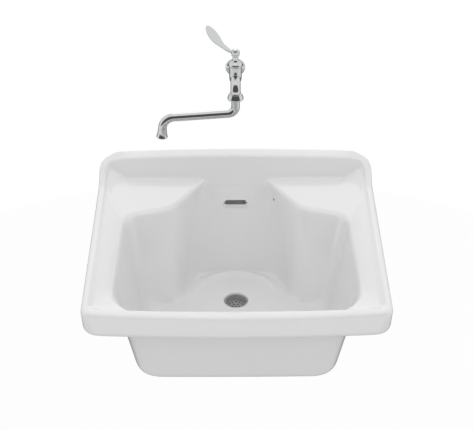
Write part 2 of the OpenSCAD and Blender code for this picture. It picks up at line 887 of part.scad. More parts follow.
module faucet_body() {
    color(chrome)
        difference() {
            union() {
                at_stem()
                    rotate_extrude()
                        polygon([[0, -14.5], [4, -14.3], [8, -13], [11, -10.2], [12.6, -6.5], [barrel_r, -2],
                            [barrel_r, barrel_h], [0, barrel_h]]);
                // inlet neck and the threaded end in the wall
                translate([0, -stem_y + 4, faucet_z])
                    rotate([-90, 0, 0])
                        cylinder(r = neck_r, h = stem_y - 4);
                translate([0, 0, faucet_z])
                    rotate([-90, 0, 0])
                        cylinder(r = inlet_r, h = inlet_len);
                // outlet branch, turned down into the nut's thread
                translate([0, -stem_y - 4, faucet_z])
                    rotate([90, 0, 0])
                        cylinder(r = branch_r, h = branch_len - branch_bend - 4 + eps);
                branch(branch_r);
                at_spout()
                    translate([0, 0, -nut_top])
                        cylinder(r = branch_r, h = nut_top - branch_bend + eps);
                at_spout()
                    translate([0, 0, -thread_low])
                        cylinder(r = nut_thread_r, h = thread_low - nut_top);
            }
            // water way to the seat
            translate([0, -stem_y, faucet_z])
                rotate([-90, 0, 0])
                    cylinder(r = water_r, h = stem_y + inlet_len + 1);
            at_stem()
                cylinder(r = seat_r, h = seat_h + 5);
            // chamber for the discs, bore for the spindle's collar, and cover thread
            at_stem()
                translate([0, 0, seat_h])
                    cylinder(r = disc_r + run_gap, h = collar_low - 0.5 - seat_h);
            at_stem()
                translate([0, 0, collar_low - 0.5 - eps])
                    cylinder(r = stem_collar_r + run_gap, h = barrel_h);
            at_stem()
                translate([0, 0, collar_bore_to])
                    cylinder(r = chamber_r, h = barrel_h);
            // passage from above the discs down to the branch
            translate([0, -stem_y - disc_r + 1, faucet_z + passage_z])
                rotate([90, 0, 0])
                    cylinder(r = passage_r, h = passage_y - disc_r + 1);
            translate([0, -stem_y - passage_y, faucet_z - 3])
                cylinder(r = passage_r, h = passage_z + 3);
            translate([0, -stem_y - passage_y + passage_r, faucet_z])
                rotate([90, 0, 0])
                    cylinder(r = branch_bore - 1.5, h = 6);
            translate([0, -stem_y - 10.5, faucet_z])
                rotate([90, 0, 0])
                    cylinder(r = branch_bore, h = branch_len - branch_bend - 10.5 + eps);
            branch(branch_bore);
            at_spout()
                translate([0, 0, -thread_low - 1])
                    cylinder(r = branch_bore, h = thread_low + 1 - branch_bend + eps);
            at_spout()
                translate([0, 0, -thread_low - 1])
                    cylinder(r = tube_r + run_gap, h = thread_low + 1 - leg_stop);
        }
}

module faucet_flange() {
    color(chrome)
        translate([0, 0, faucet_z])
            rotate([90, 0, 0])
                rotate_extrude()
                    polygon([[neck_r + 0.05, 0], [flange_r, 0], [flange_r, 1.2], [flange_r - 1.5, 3.4],
                        [flange_r - 5, 5.6], [flange_r - 9, flange_d - 0.8], [neck_r + 2.4, flange_d],
                        [neck_r + 0.05, flange_d]]);
}

// ---------- stem ----------

cover_h = 22.5;
cover_r = 14.6;
collar_r = 5.9;
pack_from = barrel_h - 2.6;
retainer_t = 1.6;
stem_top = 57;
stem_low = disc_low + 2 * disc_t + 0.2;
tang_w = 2.6;
tang_len = 7.6;
tang_h = 1.2;
port_r = 1.4;
port_x = 3.3;
cover_bore = spindle_r + run_gap;

module cover_nut() {
    color(chrome)
        at_stem()
            rotate_extrude()
                polygon([[cover_bore, barrel_h + 7], [cover_bore, barrel_h + cover_h], [collar_r, barrel_h + cover_h],
                    [collar_r, barrel_h + 13], [7.6, barrel_h + 10.6], [11.6, barrel_h + 7.2], [cover_r, barrel_h + 3.6],
                    [cover_r, barrel_h + 1.4], [cover_r - 1, barrel_h], [chamber_r - 0.05, barrel_h],
                    [chamber_r - 0.05, barrel_h - 4.4], [8.2, barrel_h - 4.4], [8.2, barrel_h + 3.5]]);
}

module packing_retainer() {
    color(brass)
        at_stem()
            translate([0, 0, pack_from])
                ring_solid(8.1, cover_bore, retainer_t);
}

module stem_packing() {
    color(rubber)
        at_stem()
            rotate_extrude()
                polygon([[cover_bore, pack_from + retainer_t], [8.1, pack_from + retainer_t],
                    [8.1, barrel_h + 3.4], [cover_bore, barrel_h + 6.9]]);
}

module spindle() {
    color(brass)
        at_stem()
            difference() {
                union() {
                    translate([0, 0, collar_low])
                        cylinder(r = stem_collar_r, h = pack_from - collar_low - 0.1);
                    translate([0, 0, stem_low])
                        cylinder(r = spindle_r, h = stem_top - stem_low);
                    // flat tang that turns the upper disc
                    intersection() {
                        translate([-tang_len / 2, -tang_w / 2, stem_low - tang_h])
                            cube([tang_len, tang_w, tang_h + eps]);
                        translate([0, 0, stem_low - tang_h - 1])
                            cylinder(r = spindle_r, h = tang_h + 2);
                    }
                }
                translate([0, 0, stem_top - 9])
                    cylinder(r = 1.65, h = 10);
            }
}

module disc(turn) {
    difference() {
        cylinder(r = disc_r, h = disc_t);
        for (side = [-1, 1])
            rotate(turn)
                translate([side * port_x, 0, -1])
                    cylinder(r = port_r, h = disc_t + 2);
    }
}

// Closed at rest: its two ports stand square to those of the disc below
module turning_disc() {
    color(china)
        at_stem()
            translate([0, 0, disc_low + disc_t])
                difference() {
                    disc(90);
                    translate([-tang_len / 2 - 0.3, -tang_w / 2 - run_gap, disc_t - tang_h])
                        cube([tang_len + 0.6, tang_w + 2 * run_gap, tang_h + 1]);
                }
}

module fixed_disc() {
    color(china)
        at_stem()
            translate([0, 0, disc_low])
                disc(0);
}

module valve_seal() {
    color(rubber)
        at_stem()
            translate([0, 0, seat_h])
                ring_solid(disc_r - 0.6, seat_r + 0.1, seal_t);
}

// ---------- lever ----------

hub_low = barrel_h + cover_h + 0.5;
hub_h = 12.5;
hub_r = 8.8;
lever_root = 4.5;
blade_stations = 12;
blade_sides = 12;

// The lever's middle line, from the hub outwards and up: [distance from the axis, height]
function lever_line(t) =
    let(root = [hub_r - 3, hub_low + hub_h - 5], tip = [lever_len, root.y + lever_rise])
    pow(1 - t, 3) * root
    + 3 * t * pow(1 - t, 2) * [lever_len * 0.43, root.y + 4.5]
    + 3 * t * t * (1 - t) * [lever_len * 0.66, root.y + lever_rise * 0.46]
    + pow(t, 3) * tip;
function lever_half_w(t) =
    t < 0.3
        ? lever_root + (blade_w / 2 - lever_root) * 0.28 * ease(t / 0.3)
        : (lever_root + (blade_w / 2 - lever_root) * (0.28 + 0.72 * ease((t - 0.3) / 0.42)))
            * sqrt(max(0.02, 1 - pow(max(0, (t - 0.72) / 0.285), 2)));
function lever_half_t(t) = (blade_t / 2) * (1 + 0.5 * (1 - ease(t / 0.35)));

function lever_section(t) =
    let(
        p = lever_line(t),
        d = unit(lever_line(min(1, t + 0.01)) - lever_line(max(0, t - 0.01))),
        up = [-d.y, d.x]
    )
    [for (k = [0 : blade_sides - 1])
        let(a = 360 * k / blade_sides, s = lever_half_w(t) * cos(a), q = lever_half_t(t) * sin(a))
        [p.x + up.x * q, s, p.y + up.y * q]];

module blade() {
    rings = [for (i = [0 : blade_stations]) lever_section(i / blade_stations)];
    n = blade_sides;
    polyhedron(
        points = [for (r = rings) each r],
        faces = concat(
            [[for (j = [0 : n - 1]) j]],
            [for (i = [0 : blade_stations - 1], j = [0 : n - 1])
                let(a = i * n + j, b = i * n + (j + 1) % n)
                each [[a, b + n, b], [a, a + n, b + n]]],
            [[for (j = [0 : n - 1]) blade_stations * n + n - 1 - j]]
        )
    );
}

module lever_handle() {
    color(chrome)
        at_stem()
            difference() {
                union() {
                    rotate_extrude()
                        polygon([[0, hub_low], [hub_r - 1.6, hub_low], [hub_r - 0.6, hub_low + 1.2],
                            [hub_r - 0.6, hub_low + 4.6], [hub_r, hub_low + 5.6], [hub_r, hub_low + hub_h - 1],
                            [hub_r - 1, hub_low + hub_h], [0, hub_low + hub_h]]);
                    rotate(lever_dir)
                        blade();
                }
                translate([0, 0, hub_low - 1])
                    cylinder(r = spindle_r + 0.02, h = stem_top - hub_low + 1);
                translate([0, 0, hub_low])
                    cylinder(r = 1.8, h = hub_h + 10);
                translate([0, 0, stem_top + 1.2])
                    cylinder(r = 5.2, h = 20);
            }
}

module handle_screw() {
    color(steel)
        at_stem()
            difference() {
                union() {
                    translate([0, 0, stem_top - 8])
                        cylinder(r = 1.62, h = 9.3);
                    translate([0, 0, stem_top + 1.2])
                        cylinder(r = 3.6, h = 1.9);
                }
                translate([-4, -0.5, stem_top + 2.3])
                    cube([8, 1, 2]);
            }
}

module handle_cap() {
    color(chrome)
        at_stem()
            rotate_extrude()
                polygon([[0, hub_low + hub_h + 3.4], [3, hub_low + hub_h + 3], [5.6, hub_low + hub_h + 1.8],
                    [7, hub_low + hub_h], [5.1, hub_low + hub_h], [5.1, stem_top + 3.4], [4.2, stem_top + 3.4],
                    [4.2, hub_low + hub_h], [0, hub_low + hub_h]]);
}

// ---------- spout ----------

first_bend = 16;
second_bend = 26;
tube_top = leg_stop + 0.5;
groove_z = thread_low + 0.2;
ring_t = 1.2;
collar_len = 20;
collar_flare = 3.2;
outlet_lean = 4;

// Turns what is drawn along +X to the spout's rest direction
module spout_frame() {
    at_spout()
        rotate(spout_dir)
            children();
}

bend_x = first_bend * (1 - sin(run_fall));
bend_z = -(spout_drop - first_bend) - first_bend * cos(run_fall);
second_dx = second_bend * (cos(outlet_lean) - sin(run_fall));
second_dz = second_bend * (cos(run_fall) - sin(outlet_lean));
tail_len = (outlet_drop - second_dz) / cos(outlet_lean);
run_len = (spout_len - bend_x - second_dx - tail_len * sin(outlet_lean)) / cos(run_fall);
end_x = bend_x + run_len * cos(run_fall);
end_z = bend_z - run_len * sin(run_fall);
tip_x = end_x + second_dx;
tip_z = end_z - second_dz;
bend_step = 0.08;
overlap = 0.5;

// The spout's outer form, or its bore, longer at both ends by over. The bends are a hair slimmer
// than the straight lengths, which reach a little way into them.
module spout_form(r, over) {
    translate([0, 0, -(spout_drop - first_bend) - overlap])
        cylinder(r = r, h = spout_drop - first_bend - tube_top + overlap + over);
    translate([first_bend, 0, -(spout_drop - first_bend)])
        rotate([90, 0, 0])
            rotate(180)
                rotate_extrude(angle = 90 - run_fall)
                    translate([first_bend, 0])
                        circle(r = r - bend_step);
    translate([bend_x, 0, bend_z])
        rotate([0, 90 + run_fall, 0])
            translate([0, 0, -overlap])
                cylinder(r = r, h = run_len + 2 * overlap);
    translate([end_x - second_bend * sin(run_fall), 0, end_z - second_bend * cos(run_fall)])
        rotate([90, 0, 0])
            rotate(outlet_lean)
                rotate_extrude(angle = 90 - run_fall - outlet_lean)
                    translate([second_bend, 0])
                        circle(r = r - bend_step);
    translate([tip_x, 0, tip_z])
        rotate([0, 180 - outlet_lean, 0])
            translate([0, 0, -overlap])
                cylinder(r = r, h = tail_len + overlap + over);
}

module spout_tube() {
    color(chrome)
        spout_frame()
            difference() {
                spout_form(tube_r, 0);
                spout_form(tube_r - tube_t, 1);
                translate([0, 0, -groove_z - ring_t - 0.05])
                    difference() {
                        cylinder(r = tube_r + 1, h = ring_t + 0.1);
                        translate([0, 0, -1])
                            cylinder(r = tube_r - 0.5, h = ring_t + 3);
                    }
            }
}

// Drawn in line with the outlet, from its end upwards
module at_outlet() {
    spout_frame()
        translate([tip_x, 0, tip_z])
            rotate([0, 180 - outlet_lean, 0])
                translate([0, 0, tail_len])
                    rotate([180, 0, 0])
                        children();
}

module outlet_collar() {
    color(chrome)
        at_outlet()
            rotate_extrude()
                polygon([[tube_r, -1], [tube_r + collar_flare - 0.5, -1], [tube_r + collar_flare, -0.5],
                    [tube_r + collar_flare - 0.1, 0.6], [tube_r + 2.1, 4], [tube_r + 1.2, 9], [tube_r + 0.6, 14],
                    [tube_r + 0.3, collar_len], [tube_r, collar_len]]);
}

module flow_straightener() {
    color(white_plastic)
        at_outlet()
            difference() {
                cylinder(r = tube_r - tube_t, h = 6);
                for (a = [0 : 60 : 300])
                    rotate(a)
                        translate([4.4, 0, -1])
                            cylinder(r = 1.7, h = 8);
                translate([0, 0, -1])
                    cylinder(r = 1.7, h = 8);
            }
}

module spout_nut() {
    color(chrome)
        at_spout()
            rotate_extrude()
                polygon([[nut_thread_r + 0.05, -nut_top], [nut_thread_r + 0.9, -nut_top], [14, -nut_top - 3],
                    [16.2, -nut_top - 7.5], [16.9, -nut_top - 10], [16.9, -nut_low + 1.6], [15.9, -nut_low],
                    [tube_r + run_gap, -nut_low], [tube_r + run_gap, -nut_low + 1.5], [nut_thread_r + 0.05, -nut_low + 1.5]]);
}

module spout_ring() {
    color(brass)
        at_spout()
            translate([0, 0, -groove_z - ring_t])
                ring_solid(tube_r + 2.2, tube_r - 0.45, ring_t);
}

module spout_packing() {
    color(rubber)
        at_spout()
            translate([0, 0, -nut_low + 1.5])
                ring_solid(nut_thread_r, tube_r + run_gap, nut_low - 1.5 - groove_z - ring_t - 0.05);
}

basin();
hanger_left();
hanger_right();
hanger_screws();
hanger_washers();
waste_body();
strainer();
waste_top_gasket();
waste_bottom_gasket();
waste_washer();
waste_locknut();
tailpiece();
tailpiece_nut();
tailpiece_seal();
trap_bend();
trap_inlet_nut();
trap_inlet_seal();
cleanout_plug();
cleanout_gasket();
trap_outlet_nut();
trap_outlet_seal();
trap_arm();
trap_wall_flange();
trap_wall_seal();
faucet_body();
faucet_flange();
cover_nut();
packing_retainer();
stem_packing();
spindle();
valve_seal();
fixed_disc();
turning_disc();
lever_handle();
handle_screw();
handle_cap();
spout_nut();
spout_ring();
spout_packing();
spout_tube();
outlet_collar();
flow_straightener();
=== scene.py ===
"""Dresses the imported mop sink: a glazed china basin, its waste and trap, and a chrome wall faucet."""

import json
from math import atan2, cos, pi, radians, sin, sqrt

import bmesh
import bpy
from bpy.props import FloatProperty, FloatVectorProperty, PointerProperty
from mathutils import Matrix, Vector
from mathutils.bvhtree import BVHTree


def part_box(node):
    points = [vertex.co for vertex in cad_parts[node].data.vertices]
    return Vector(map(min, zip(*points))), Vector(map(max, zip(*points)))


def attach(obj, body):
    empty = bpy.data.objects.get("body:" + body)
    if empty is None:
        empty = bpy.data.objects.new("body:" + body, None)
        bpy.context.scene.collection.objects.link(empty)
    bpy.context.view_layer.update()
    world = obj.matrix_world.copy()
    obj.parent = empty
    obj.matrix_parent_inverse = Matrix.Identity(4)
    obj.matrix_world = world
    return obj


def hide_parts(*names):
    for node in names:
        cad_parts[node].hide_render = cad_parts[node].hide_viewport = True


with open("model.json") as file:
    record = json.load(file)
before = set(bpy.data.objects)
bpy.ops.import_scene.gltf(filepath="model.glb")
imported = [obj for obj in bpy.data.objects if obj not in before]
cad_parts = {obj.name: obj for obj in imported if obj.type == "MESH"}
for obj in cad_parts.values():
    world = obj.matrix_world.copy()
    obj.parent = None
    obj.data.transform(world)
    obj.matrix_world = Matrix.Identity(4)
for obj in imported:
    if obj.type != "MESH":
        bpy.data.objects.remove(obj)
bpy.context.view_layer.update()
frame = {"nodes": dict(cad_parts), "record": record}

bl_info = {
    "name": "Mop Service Sink",
    "version": (1, 0, 0),
    "blender": (4, 5, 0),
    "location": "3D View > Sidebar > Sink",
    "description": "Builds a china mop sink with its trap and a swivel-spout wall faucet",
    "category": "Add Mesh",
}

SLOT_OF = {part["node"]: part["material_slot"] for part in frame["record"]["subparts"]}
MM = 0.001


# ---------------------------------------------------------------- properties

def length(name, description, default):
    return FloatProperty(name=name, description=description, default=default, min=0.0, unit='LENGTH',
                         precision=4)


def turn(name, description, default):
    return FloatProperty(name=name, description=description, default=radians(default), subtype='ANGLE')


def colour(name, description, default):
    return FloatVectorProperty(name=name, description=description, default=default, subtype='COLOR', size=3,
                               min=0.0, max=1.0)


def share(name, description, default):
    return FloatProperty(name=name, description=description, default=default, min=0.0, max=1.0,
                         subtype='FACTOR')


class SinkSizes(bpy.types.PropertyGroup):
    width: length("Width", "Width of the sink at the wall", 0.600)
    depth: length("Depth", "Depth from the wall to the front corners", 0.534)
    bow: length("Front bow", "How far the front edge bows out in the middle", 0.011)
    dip: length("Front dip", "How far the rim dips in the middle of the front", 0.004)
    flare: length("Front flare", "How far each front corner stands out past the back corner", 0.003)
    apron: length("Apron", "Height of the apron", 0.055)
    bead: length("Side bead", "Width of the rounded bead along the sides", 0.012)
    front_bead: length("Front bead", "Width of the bead along the front", 0.018)
    ledge: length("Ledge", "Width of the ledge between the side and the bowl", 0.053)
    ledge_fall: length("Ledge fall", "Fall of the ledge towards the bowl", 0.011)
    china: length("China wall", "Thickness of the china walls", 0.012)
    upstand: length("Upstand", "Height of the upstand above the front rim", 0.049)
    arch: length("Upstand arch", "How much lower the upstand is at its ends", 0.008)
    upstand_top: length("Upstand top", "Thickness of the upstand at its top", 0.027)
    upstand_slope: length("Upstand slope", "How far the upstand's face slopes forward", 0.019)
    shelf: length("Shelf", "Distance from the wall to the front of the shelves", 0.148)
    sweep: length("Shelf sweep", "Extra reach of the shelves at the bowl's back corners", 0.027)
    shoulder: length("Shoulder", "Half the width of the recess where the shelves end", 0.139)
    recess: length("Recess", "Half the width of the recess at the upstand", 0.066)
    bowl: length("Bowl depth", "Depth of the floor below the front rim", 0.202)
    side_lean: length("Side lean", "How far each side wall leans in", 0.054)
    front_lean: length("Front lean", "How far the front wall leans in", 0.060)
    shelf_lean: length("Shelf lean", "How far the shelves' front walls lean out", 0.082)
    floor_back: length("Floor back", "Distance from the wall to the back of the floor's recess", 0.123)
    drain_out: length("Drain distance", "Distance from the wall to the middle of the drain", 0.219)
    drain: length("Drain radius", "Radius of the drain hole in the china", 0.026)
    dish: length("Dish radius", "Radius of the round dish about the drain", 0.080)
    slot_width: length("Overflow width", "Width of the overflow slot", 0.050)
    slot_height: length("Overflow height", "Height of the overflow slot", 0.014)
    slot_depth: length("Overflow depth", "Depth of the overflow slot below the front rim", 0.057)


class FaucetSizes(bpy.types.PropertyGroup):
    inlet: length("Inlet height", "Height of the inlet above the front rim", 0.250)
    stem: length("Stem distance", "Distance from the wall to the stem's axis", 0.045)
    branch: length("Branch", "Distance from the stem's axis to the spout's axis", 0.0365)
    barrel: length("Barrel radius", "Outer radius of the valve body", 0.0132)
    barrel_height: length("Barrel height", "Height of the valve body above the inlet's axis", 0.027)
    lever: length("Lever", "Length of the lever from the stem's axis", 0.066)
    lever_rise: length("Lever rise", "Rise of the lever's tip above its root", 0.049)
    blade: length("Blade width", "Width of the lever's blade", 0.033)
    blade_thick: length("Blade thickness", "Thickness of the lever's blade", 0.0032)
    lever_turn: turn("Lever direction", "Rest direction of the lever, from +X towards +Y", 157)
    tube: length("Tube radius", "Outer radius of the spout tube", 0.009)
    tube_wall: length("Tube wall", "Wall thickness of the spout tube", 0.001)
    reach: length("Spout reach", "Reach of the spout from its axis to the outlet", 0.157)
    drop: length("Spout drop", "Drop from the inlet's axis to the level run", 0.067)
    fall: turn("Run fall", "Fall of the level run towards the outlet", 2)
    outlet_drop: length("Outlet drop", "Drop of the outlet below the end of the level run", 0.046)
    spout_turn: turn("Spout direction", "Rest direction of the spout, from +X towards +Y", 184)


class Finishes(bpy.types.PropertyGroup):
    glaze: colour("Glaze", "Colour of the glazed china", (0.80, 0.80, 0.80))
    glaze_gloss: share("Glaze roughness", "Roughness of the glaze", 0.12)
    biscuit: colour("Bare china", "Colour of the unglazed china at the wall", (0.72, 0.69, 0.63))
    chrome: colour("Chrome", "Colour of the chromium plating", (0.58, 0.585, 0.59))
    chrome_gloss: share("Chrome roughness", "Roughness of the chromium plating", 0.06)
    brass: colour("Brass", "Colour of turned brass", (0.72, 0.55, 0.26))
    steel: colour("Steel", "Colour of zinc-plated steel", (0.56, 0.57, 0.58))
    rubber: colour("Rubber", "Colour of the seals", (0.03, 0.03, 0.032))
    white_plastic: colour("White plastic", "Colour of the moulded trap", (0.72, 0.72, 0.70))
    # The waste fitting is real grey plastic, but its grey is also painted shade: it stands in for the shade
    # inside the drain hole.
    grey_plastic: colour("Grey plastic", "Colour of the waste fitting", (0.40, 0.40, 0.40))


# ---------------------------------------------------------------- shader maths

class Val:
    """A shader socket that takes part in Python arithmetic."""

    def __init__(self, shader, socket):
        self.shader = shader
        self.socket = socket

    def _math(self, operation, *inputs):
        return self.shader.add('ShaderNodeMath', {"operation": operation}, *inputs)

    def __add__(self, other):
        return self._math('ADD', self, other)

    __radd__ = __add__

    def __sub__(self, other):
        return self._math('SUBTRACT', self, other)

    def __rsub__(self, other):
        return self._math('SUBTRACT', other, self)

    def __mul__(self, other):
        return self._math('MULTIPLY', self, other)

    __rmul__ = __mul__

    def clamped(self):
        return self.shader.add('ShaderNodeClamp', {}, self)

    def above(self, low, high):
        """0 below low, 1 above high, smooth between them."""
        return self.shader.add('ShaderNodeMapRange', {"interpolation_type": 'SMOOTHSTEP'}, self, low, high)


class Shader:
    """Builds one material's nodes."""

    def __init__(self, tree):
        self.tree = tree
        tree.nodes.clear()

    def add(self, kind, settings, *values, out=0, **named):
        """Adds a node of this type, its settings first, and returns one of its outputs."""
        node = self.tree.nodes.new(kind)
        for key, value in settings.items():
            setattr(node, key, value)
        by_name = [(key.replace("_", " "), value) for key, value in named.items()]
        for place, value in list(enumerate(values)) + by_name:
            socket = node.inputs[place]
            if isinstance(value, Val):
                self.tree.links.new(value.socket, socket)
            elif value is not None:
                socket.default_value = value
        return Val(self, node.outputs[out]) if len(node.outputs) else None

    def mix(self, factor, low, high):
        """Mixes two colours."""
        node = self.tree.nodes.new('ShaderNodeMix')
        node.data_type = 'RGBA'
        for index, value in ((0, factor), (6, low), (7, high)):
            if isinstance(value, Val):
                self.tree.links.new(value.socket, node.inputs[index])
            else:
                node.inputs[index].default_value = value if index == 0 else (*value, 1.0)
        return Val(self, node.outputs[2])

    def place(self, scale=(1, 1, 1), turn=(0, 0, 0), move=(0, 0, 0)):
        """Object coordinates, moved, turned and scaled."""
        where = self.add('ShaderNodeTexCoord', {}, out=3)
        return self.add('ShaderNodeMapping', {}, where, Location=move, Rotation=turn, Scale=scale)

    def noise(self, where, scale, detail=2.0, roughness=0.5):
        return self.add('ShaderNodeTexNoise', {}, Vector=where, Scale=scale, Detail=detail,
                        Roughness=roughness)

    def bump(self, height, distance, strength=1.0, normal=None):
        return self.add('ShaderNodeBump', {}, Strength=strength, Distance=distance, Height=height,
                        Normal=normal)

    def finish(self, **sockets):
        surface = self.add('ShaderNodeBsdfPrincipled', {}, **sockets)
        self.add('ShaderNodeOutputMaterial', {}, surface)


def shade(value, amount):
    return tuple(min(1.0, channel * amount) for channel in value)


def material(name, build):
    made = bpy.data.materials.get(name)
    if made is None:
        made = bpy.data.materials.new(name)
        made.use_nodes = True
        build(Shader(made.node_tree), bpy.context.scene.sink_finishes)
    return made


def glazed_china(s, f):
    """White glaze with a faint waviness, and bare china where the sink meets the wall."""
    where = s.place()
    y = s.add('ShaderNodeSeparateXYZ', {}, where, out=1)
    bare = y.above(-0.0022, -0.0012)
    clouds = s.noise(where, 9.0, 3.0)
    specks = s.noise(where, 900.0, 1.0).above(0.72, 0.80)
    tone = s.mix(clouds, shade(f.glaze, 0.985), shade(f.glaze, 1.01))
    tone = s.mix(specks * 0.12, tone, shade(f.glaze, 0.75))
    biscuit = s.mix(s.noise(where, 240.0, 4.0), shade(f.biscuit, 0.86), shade(f.biscuit, 1.06))
    waves = s.bump(s.noise(where, 26.0, 1.0), 0.0007, 0.10)
    grain = s.bump(s.noise(where, 1500.0, 2.0) * bare, 0.0003, 0.5, waves)
    s.finish(Base_Color=s.mix(bare, tone, biscuit), Roughness=bare * 0.7 + f.glaze_gloss + clouds * 0.03,
             IOR=1.52, Coat_Weight=(1.0 - bare) * 0.35, Coat_Roughness=0.03, Normal=grain)


def plated_chrome(s, f):
    """Bright plating over a casting: almost flawless, with faint wipe marks."""
    where = s.place()
    wipes = s.noise(s.place(scale=(1.0, 1.0, 6.0)), 120.0, 3.0, 0.6)
    ripple = s.bump(s.noise(where, 160.0, 1.0), 0.0001, 0.04)
    tone = s.mix(s.noise(where, 30.0), shade(f.chrome, 0.97), shade(f.chrome, 1.02))
    s.finish(Base_Color=tone, Metallic=1.0, Roughness=wipes * 0.05 + f.chrome_gloss, Normal=ripple)


def turned_brass(s, f):
    """Machined brass with fine turning marks and a little tarnish."""
    where = s.place()
    marks = s.noise(s.place(scale=(1.0, 1.0, 40.0)), 90.0, 2.0)
    tarnish = s.noise(where, 45.0, 4.0, 0.65).above(0.45, 0.75)
    tone = s.mix(tarnish * 0.6, f.brass, shade(f.brass, 0.62))
    s.finish(Base_Color=tone, Metallic=1.0, Roughness=tarnish * 0.2 + 0.24,
             Normal=s.bump(marks, 0.0001, 0.25))


def plated_steel(s, f):
    """Rolled zinc-plated steel with a crystalline bloom."""
    where = s.place()
    bloom = s.add('ShaderNodeTexVoronoi', {}, Vector=where, Scale=170.0)
    streaks = s.noise(s.place(scale=(1.0, 8.0, 8.0)), 220.0, 3.0)
    tone = s.mix(bloom.clamped(), shade(f.steel, 0.82), shade(f.steel, 1.1))
    s.finish(Base_Color=tone, Metallic=1.0, Roughness=streaks * 0.16 + 0.26,
             Normal=s.bump(streaks, 0.0001, 0.3))


def moulded(name, low, high, grain):
    """A moulded plastic or rubber with a fine grain."""
    def build(s, f):
        where = s.place()
        skin = s.noise(where, grain, 3.0)
        clouds = s.noise(where, 24.0, 3.0)
        base = tuple(getattr(f, name))
        s.finish(Base_Color=s.mix(clouds, shade(base, 0.9), shade(base, 1.06)),
                 Roughness=skin * (high - low) + low, Normal=s.bump(skin, 0.0002, 0.3))
    return build


FINISH = {
    "china": ("Glazed china", glazed_china),
    "chrome": ("Plated chrome", plated_chrome),
    "brass": ("Turned brass", turned_brass),
    "steel": ("Plated steel", plated_steel),
    "rubber": ("Seal rubber", moulded("rubber", 0.55, 0.8, 1400.0)),
    "white_plastic": ("White plastic", moulded("white_plastic", 0.28, 0.42, 700.0)),
    # The waste fitting's grey is partly its own colour and partly painted shade for the inside of the drain
    # hole.
    "grey_plastic": ("Grey plastic", moulded("grey_plastic", 0.35, 0.55, 900.0)),
}


def finish_of(slot):
    return material(*FINISH[slot])


# ---------------------------------------------------------------- modelling helpers

def piece(name, bm, body, slot, nodes=(), sharp=35.0):
    """Turns a bmesh into a finished piece that rides on a body and stands for CAD nodes."""
    mesh = bpy.data.meshes.new(name)
    bm.to_mesh(mesh)
    bm.free()
    mesh.polygons.foreach_set("use_smooth", [True] * len(mesh.polygons))
    mesh.set_sharp_from_angle(angle=radians(sharp))
    mesh.materials.append(finish_of(slot))
    made = bpy.data.objects.new(name, mesh)
    bpy.context.scene.collection.objects.link(made)
    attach(made, body)
    if nodes:
        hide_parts(*nodes)
    return made


def verts_of(geom):
    return [g for g in geom if isinstance(g, bmesh.types.BMVert)]


def edges_of(geom):
    return [g for g in geom if isinstance(g, bmesh.types.BMEdge)]


def edges_among(geom, verts):
    return [e for e in edges_of(geom) if e.verts[0] in verts and e.verts[1] in verts]


def outline_loop(bm, points):
    verts = [bm.verts.new(p) for p in points]
    return [bm.edges.new((verts[i], verts[(i + 1) % len(verts)])) for i in range(len(verts))]


def extrude_to(bm, edges, ring, target):
    """Extrudes a closed loop of edges and moves each new vertex to its place in the next ring."""
    made = bmesh.ops.extrude_edge_only(bm, edges=edges)["geom"]
    fresh = set(verts_of(made))
    loop = []
    for old, place in zip(ring, target):
        new = next(e.other_vert(old) for e in old.link_edges if e.other_vert(old) in fresh)
        new.co = place
        loop.append(new)
    return edges_among(made, fresh), loop


def loft(bm, rings, closed=False):
    """Pulls a first loop through a chain of rings. A closed chain ends where it began."""
    edges = outline_loop(bm, rings[0])
    ring = [e.verts[0] for e in edges]
    first = ring
    for target in rings[1:] + ([rings[0]] if closed else []):
        edges, ring = extrude_to(bm, edges, ring, target)
    if closed:
        bmesh.ops.remove_doubles(bm, verts=bm.verts, dist=1e-7)
    return first, ring


def rounded(corners, steps=5):
    """A profile of (radius, height, rounding) corners, with each corner turned into a short curve."""
    points = []
    count = len(corners)
    for i, (r, z, cut) in enumerate(corners):
        here = Vector((r, z))
        if not cut:
            points.append(here)
            continue
        before = Vector(corners[i - 1][:2]) - here
        after = Vector(corners[(i + 1) % count][:2]) - here
        a = here + before.normalized() * min(cut, before.length * 0.48)
        b = here + after.normalized() * min(cut, after.length * 0.48)
        for k in range(steps + 1):
            t = k / steps
            points.append((1 - t) ** 2 * a + 2 * t * (1 - t) * here + t * t * b)
    return points


def turned(corners, steps=96, move=(0, 0, 0), tilt=None):
    """Spins a closed profile of (radius, height, rounding) corners, in millimetres, about Z."""
    bm = bmesh.new()
    edges = outline_loop(bm, [(p.x * MM, 0, p.y * MM) for p in rounded(corners)])
    verts = [e.verts[0] for e in edges]
    bmesh.ops.spin(bm, geom=verts + edges, cent=(0, 0, 0), axis=(0, 0, 1), angle=2 * pi, steps=steps,
                   use_merge=True)
    bmesh.ops.remove_doubles(bm, verts=bm.verts, dist=1e-7)
    axial = [e for e in bm.edges if e.calc_length() < 1e-9]
    if axial:
        bmesh.ops.delete(bm, geom=axial, context='EDGES')
    moved(bm, move, tilt)
    closed_normals(bm)
    return bm


def closed_normals(bm):
    bmesh.ops.recalc_face_normals(bm, faces=bm.faces)


def moved(bm, move=(0, 0, 0), turn=None):
    """Turns a whole shape about the origin, then moves it."""
    if turn:
        bmesh.ops.rotate(bm, verts=bm.verts, cent=(0, 0, 0), matrix=turn)
    bmesh.ops.translate(bm, verts=bm.verts, vec=move)


def along(direction):
    """The turn that points Z in this direction."""
    return Vector((0, 0, 1)).rotation_difference(direction).to_matrix()


def lathed(name, body, nodes, corners, **placing):
    """A chrome piece of its own, turned from one profile."""
    return piece(name, turned(corners, **placing), body, "chrome", nodes)


def scratch(name, bm):
    """A helper object for a boolean cut."""
    mesh = bpy.data.meshes.new(name)
    bm.to_mesh(mesh)
    bm.free()
    made = bpy.data.objects.new(name, mesh)
    bpy.context.scene.collection.objects.link(made)
    return made


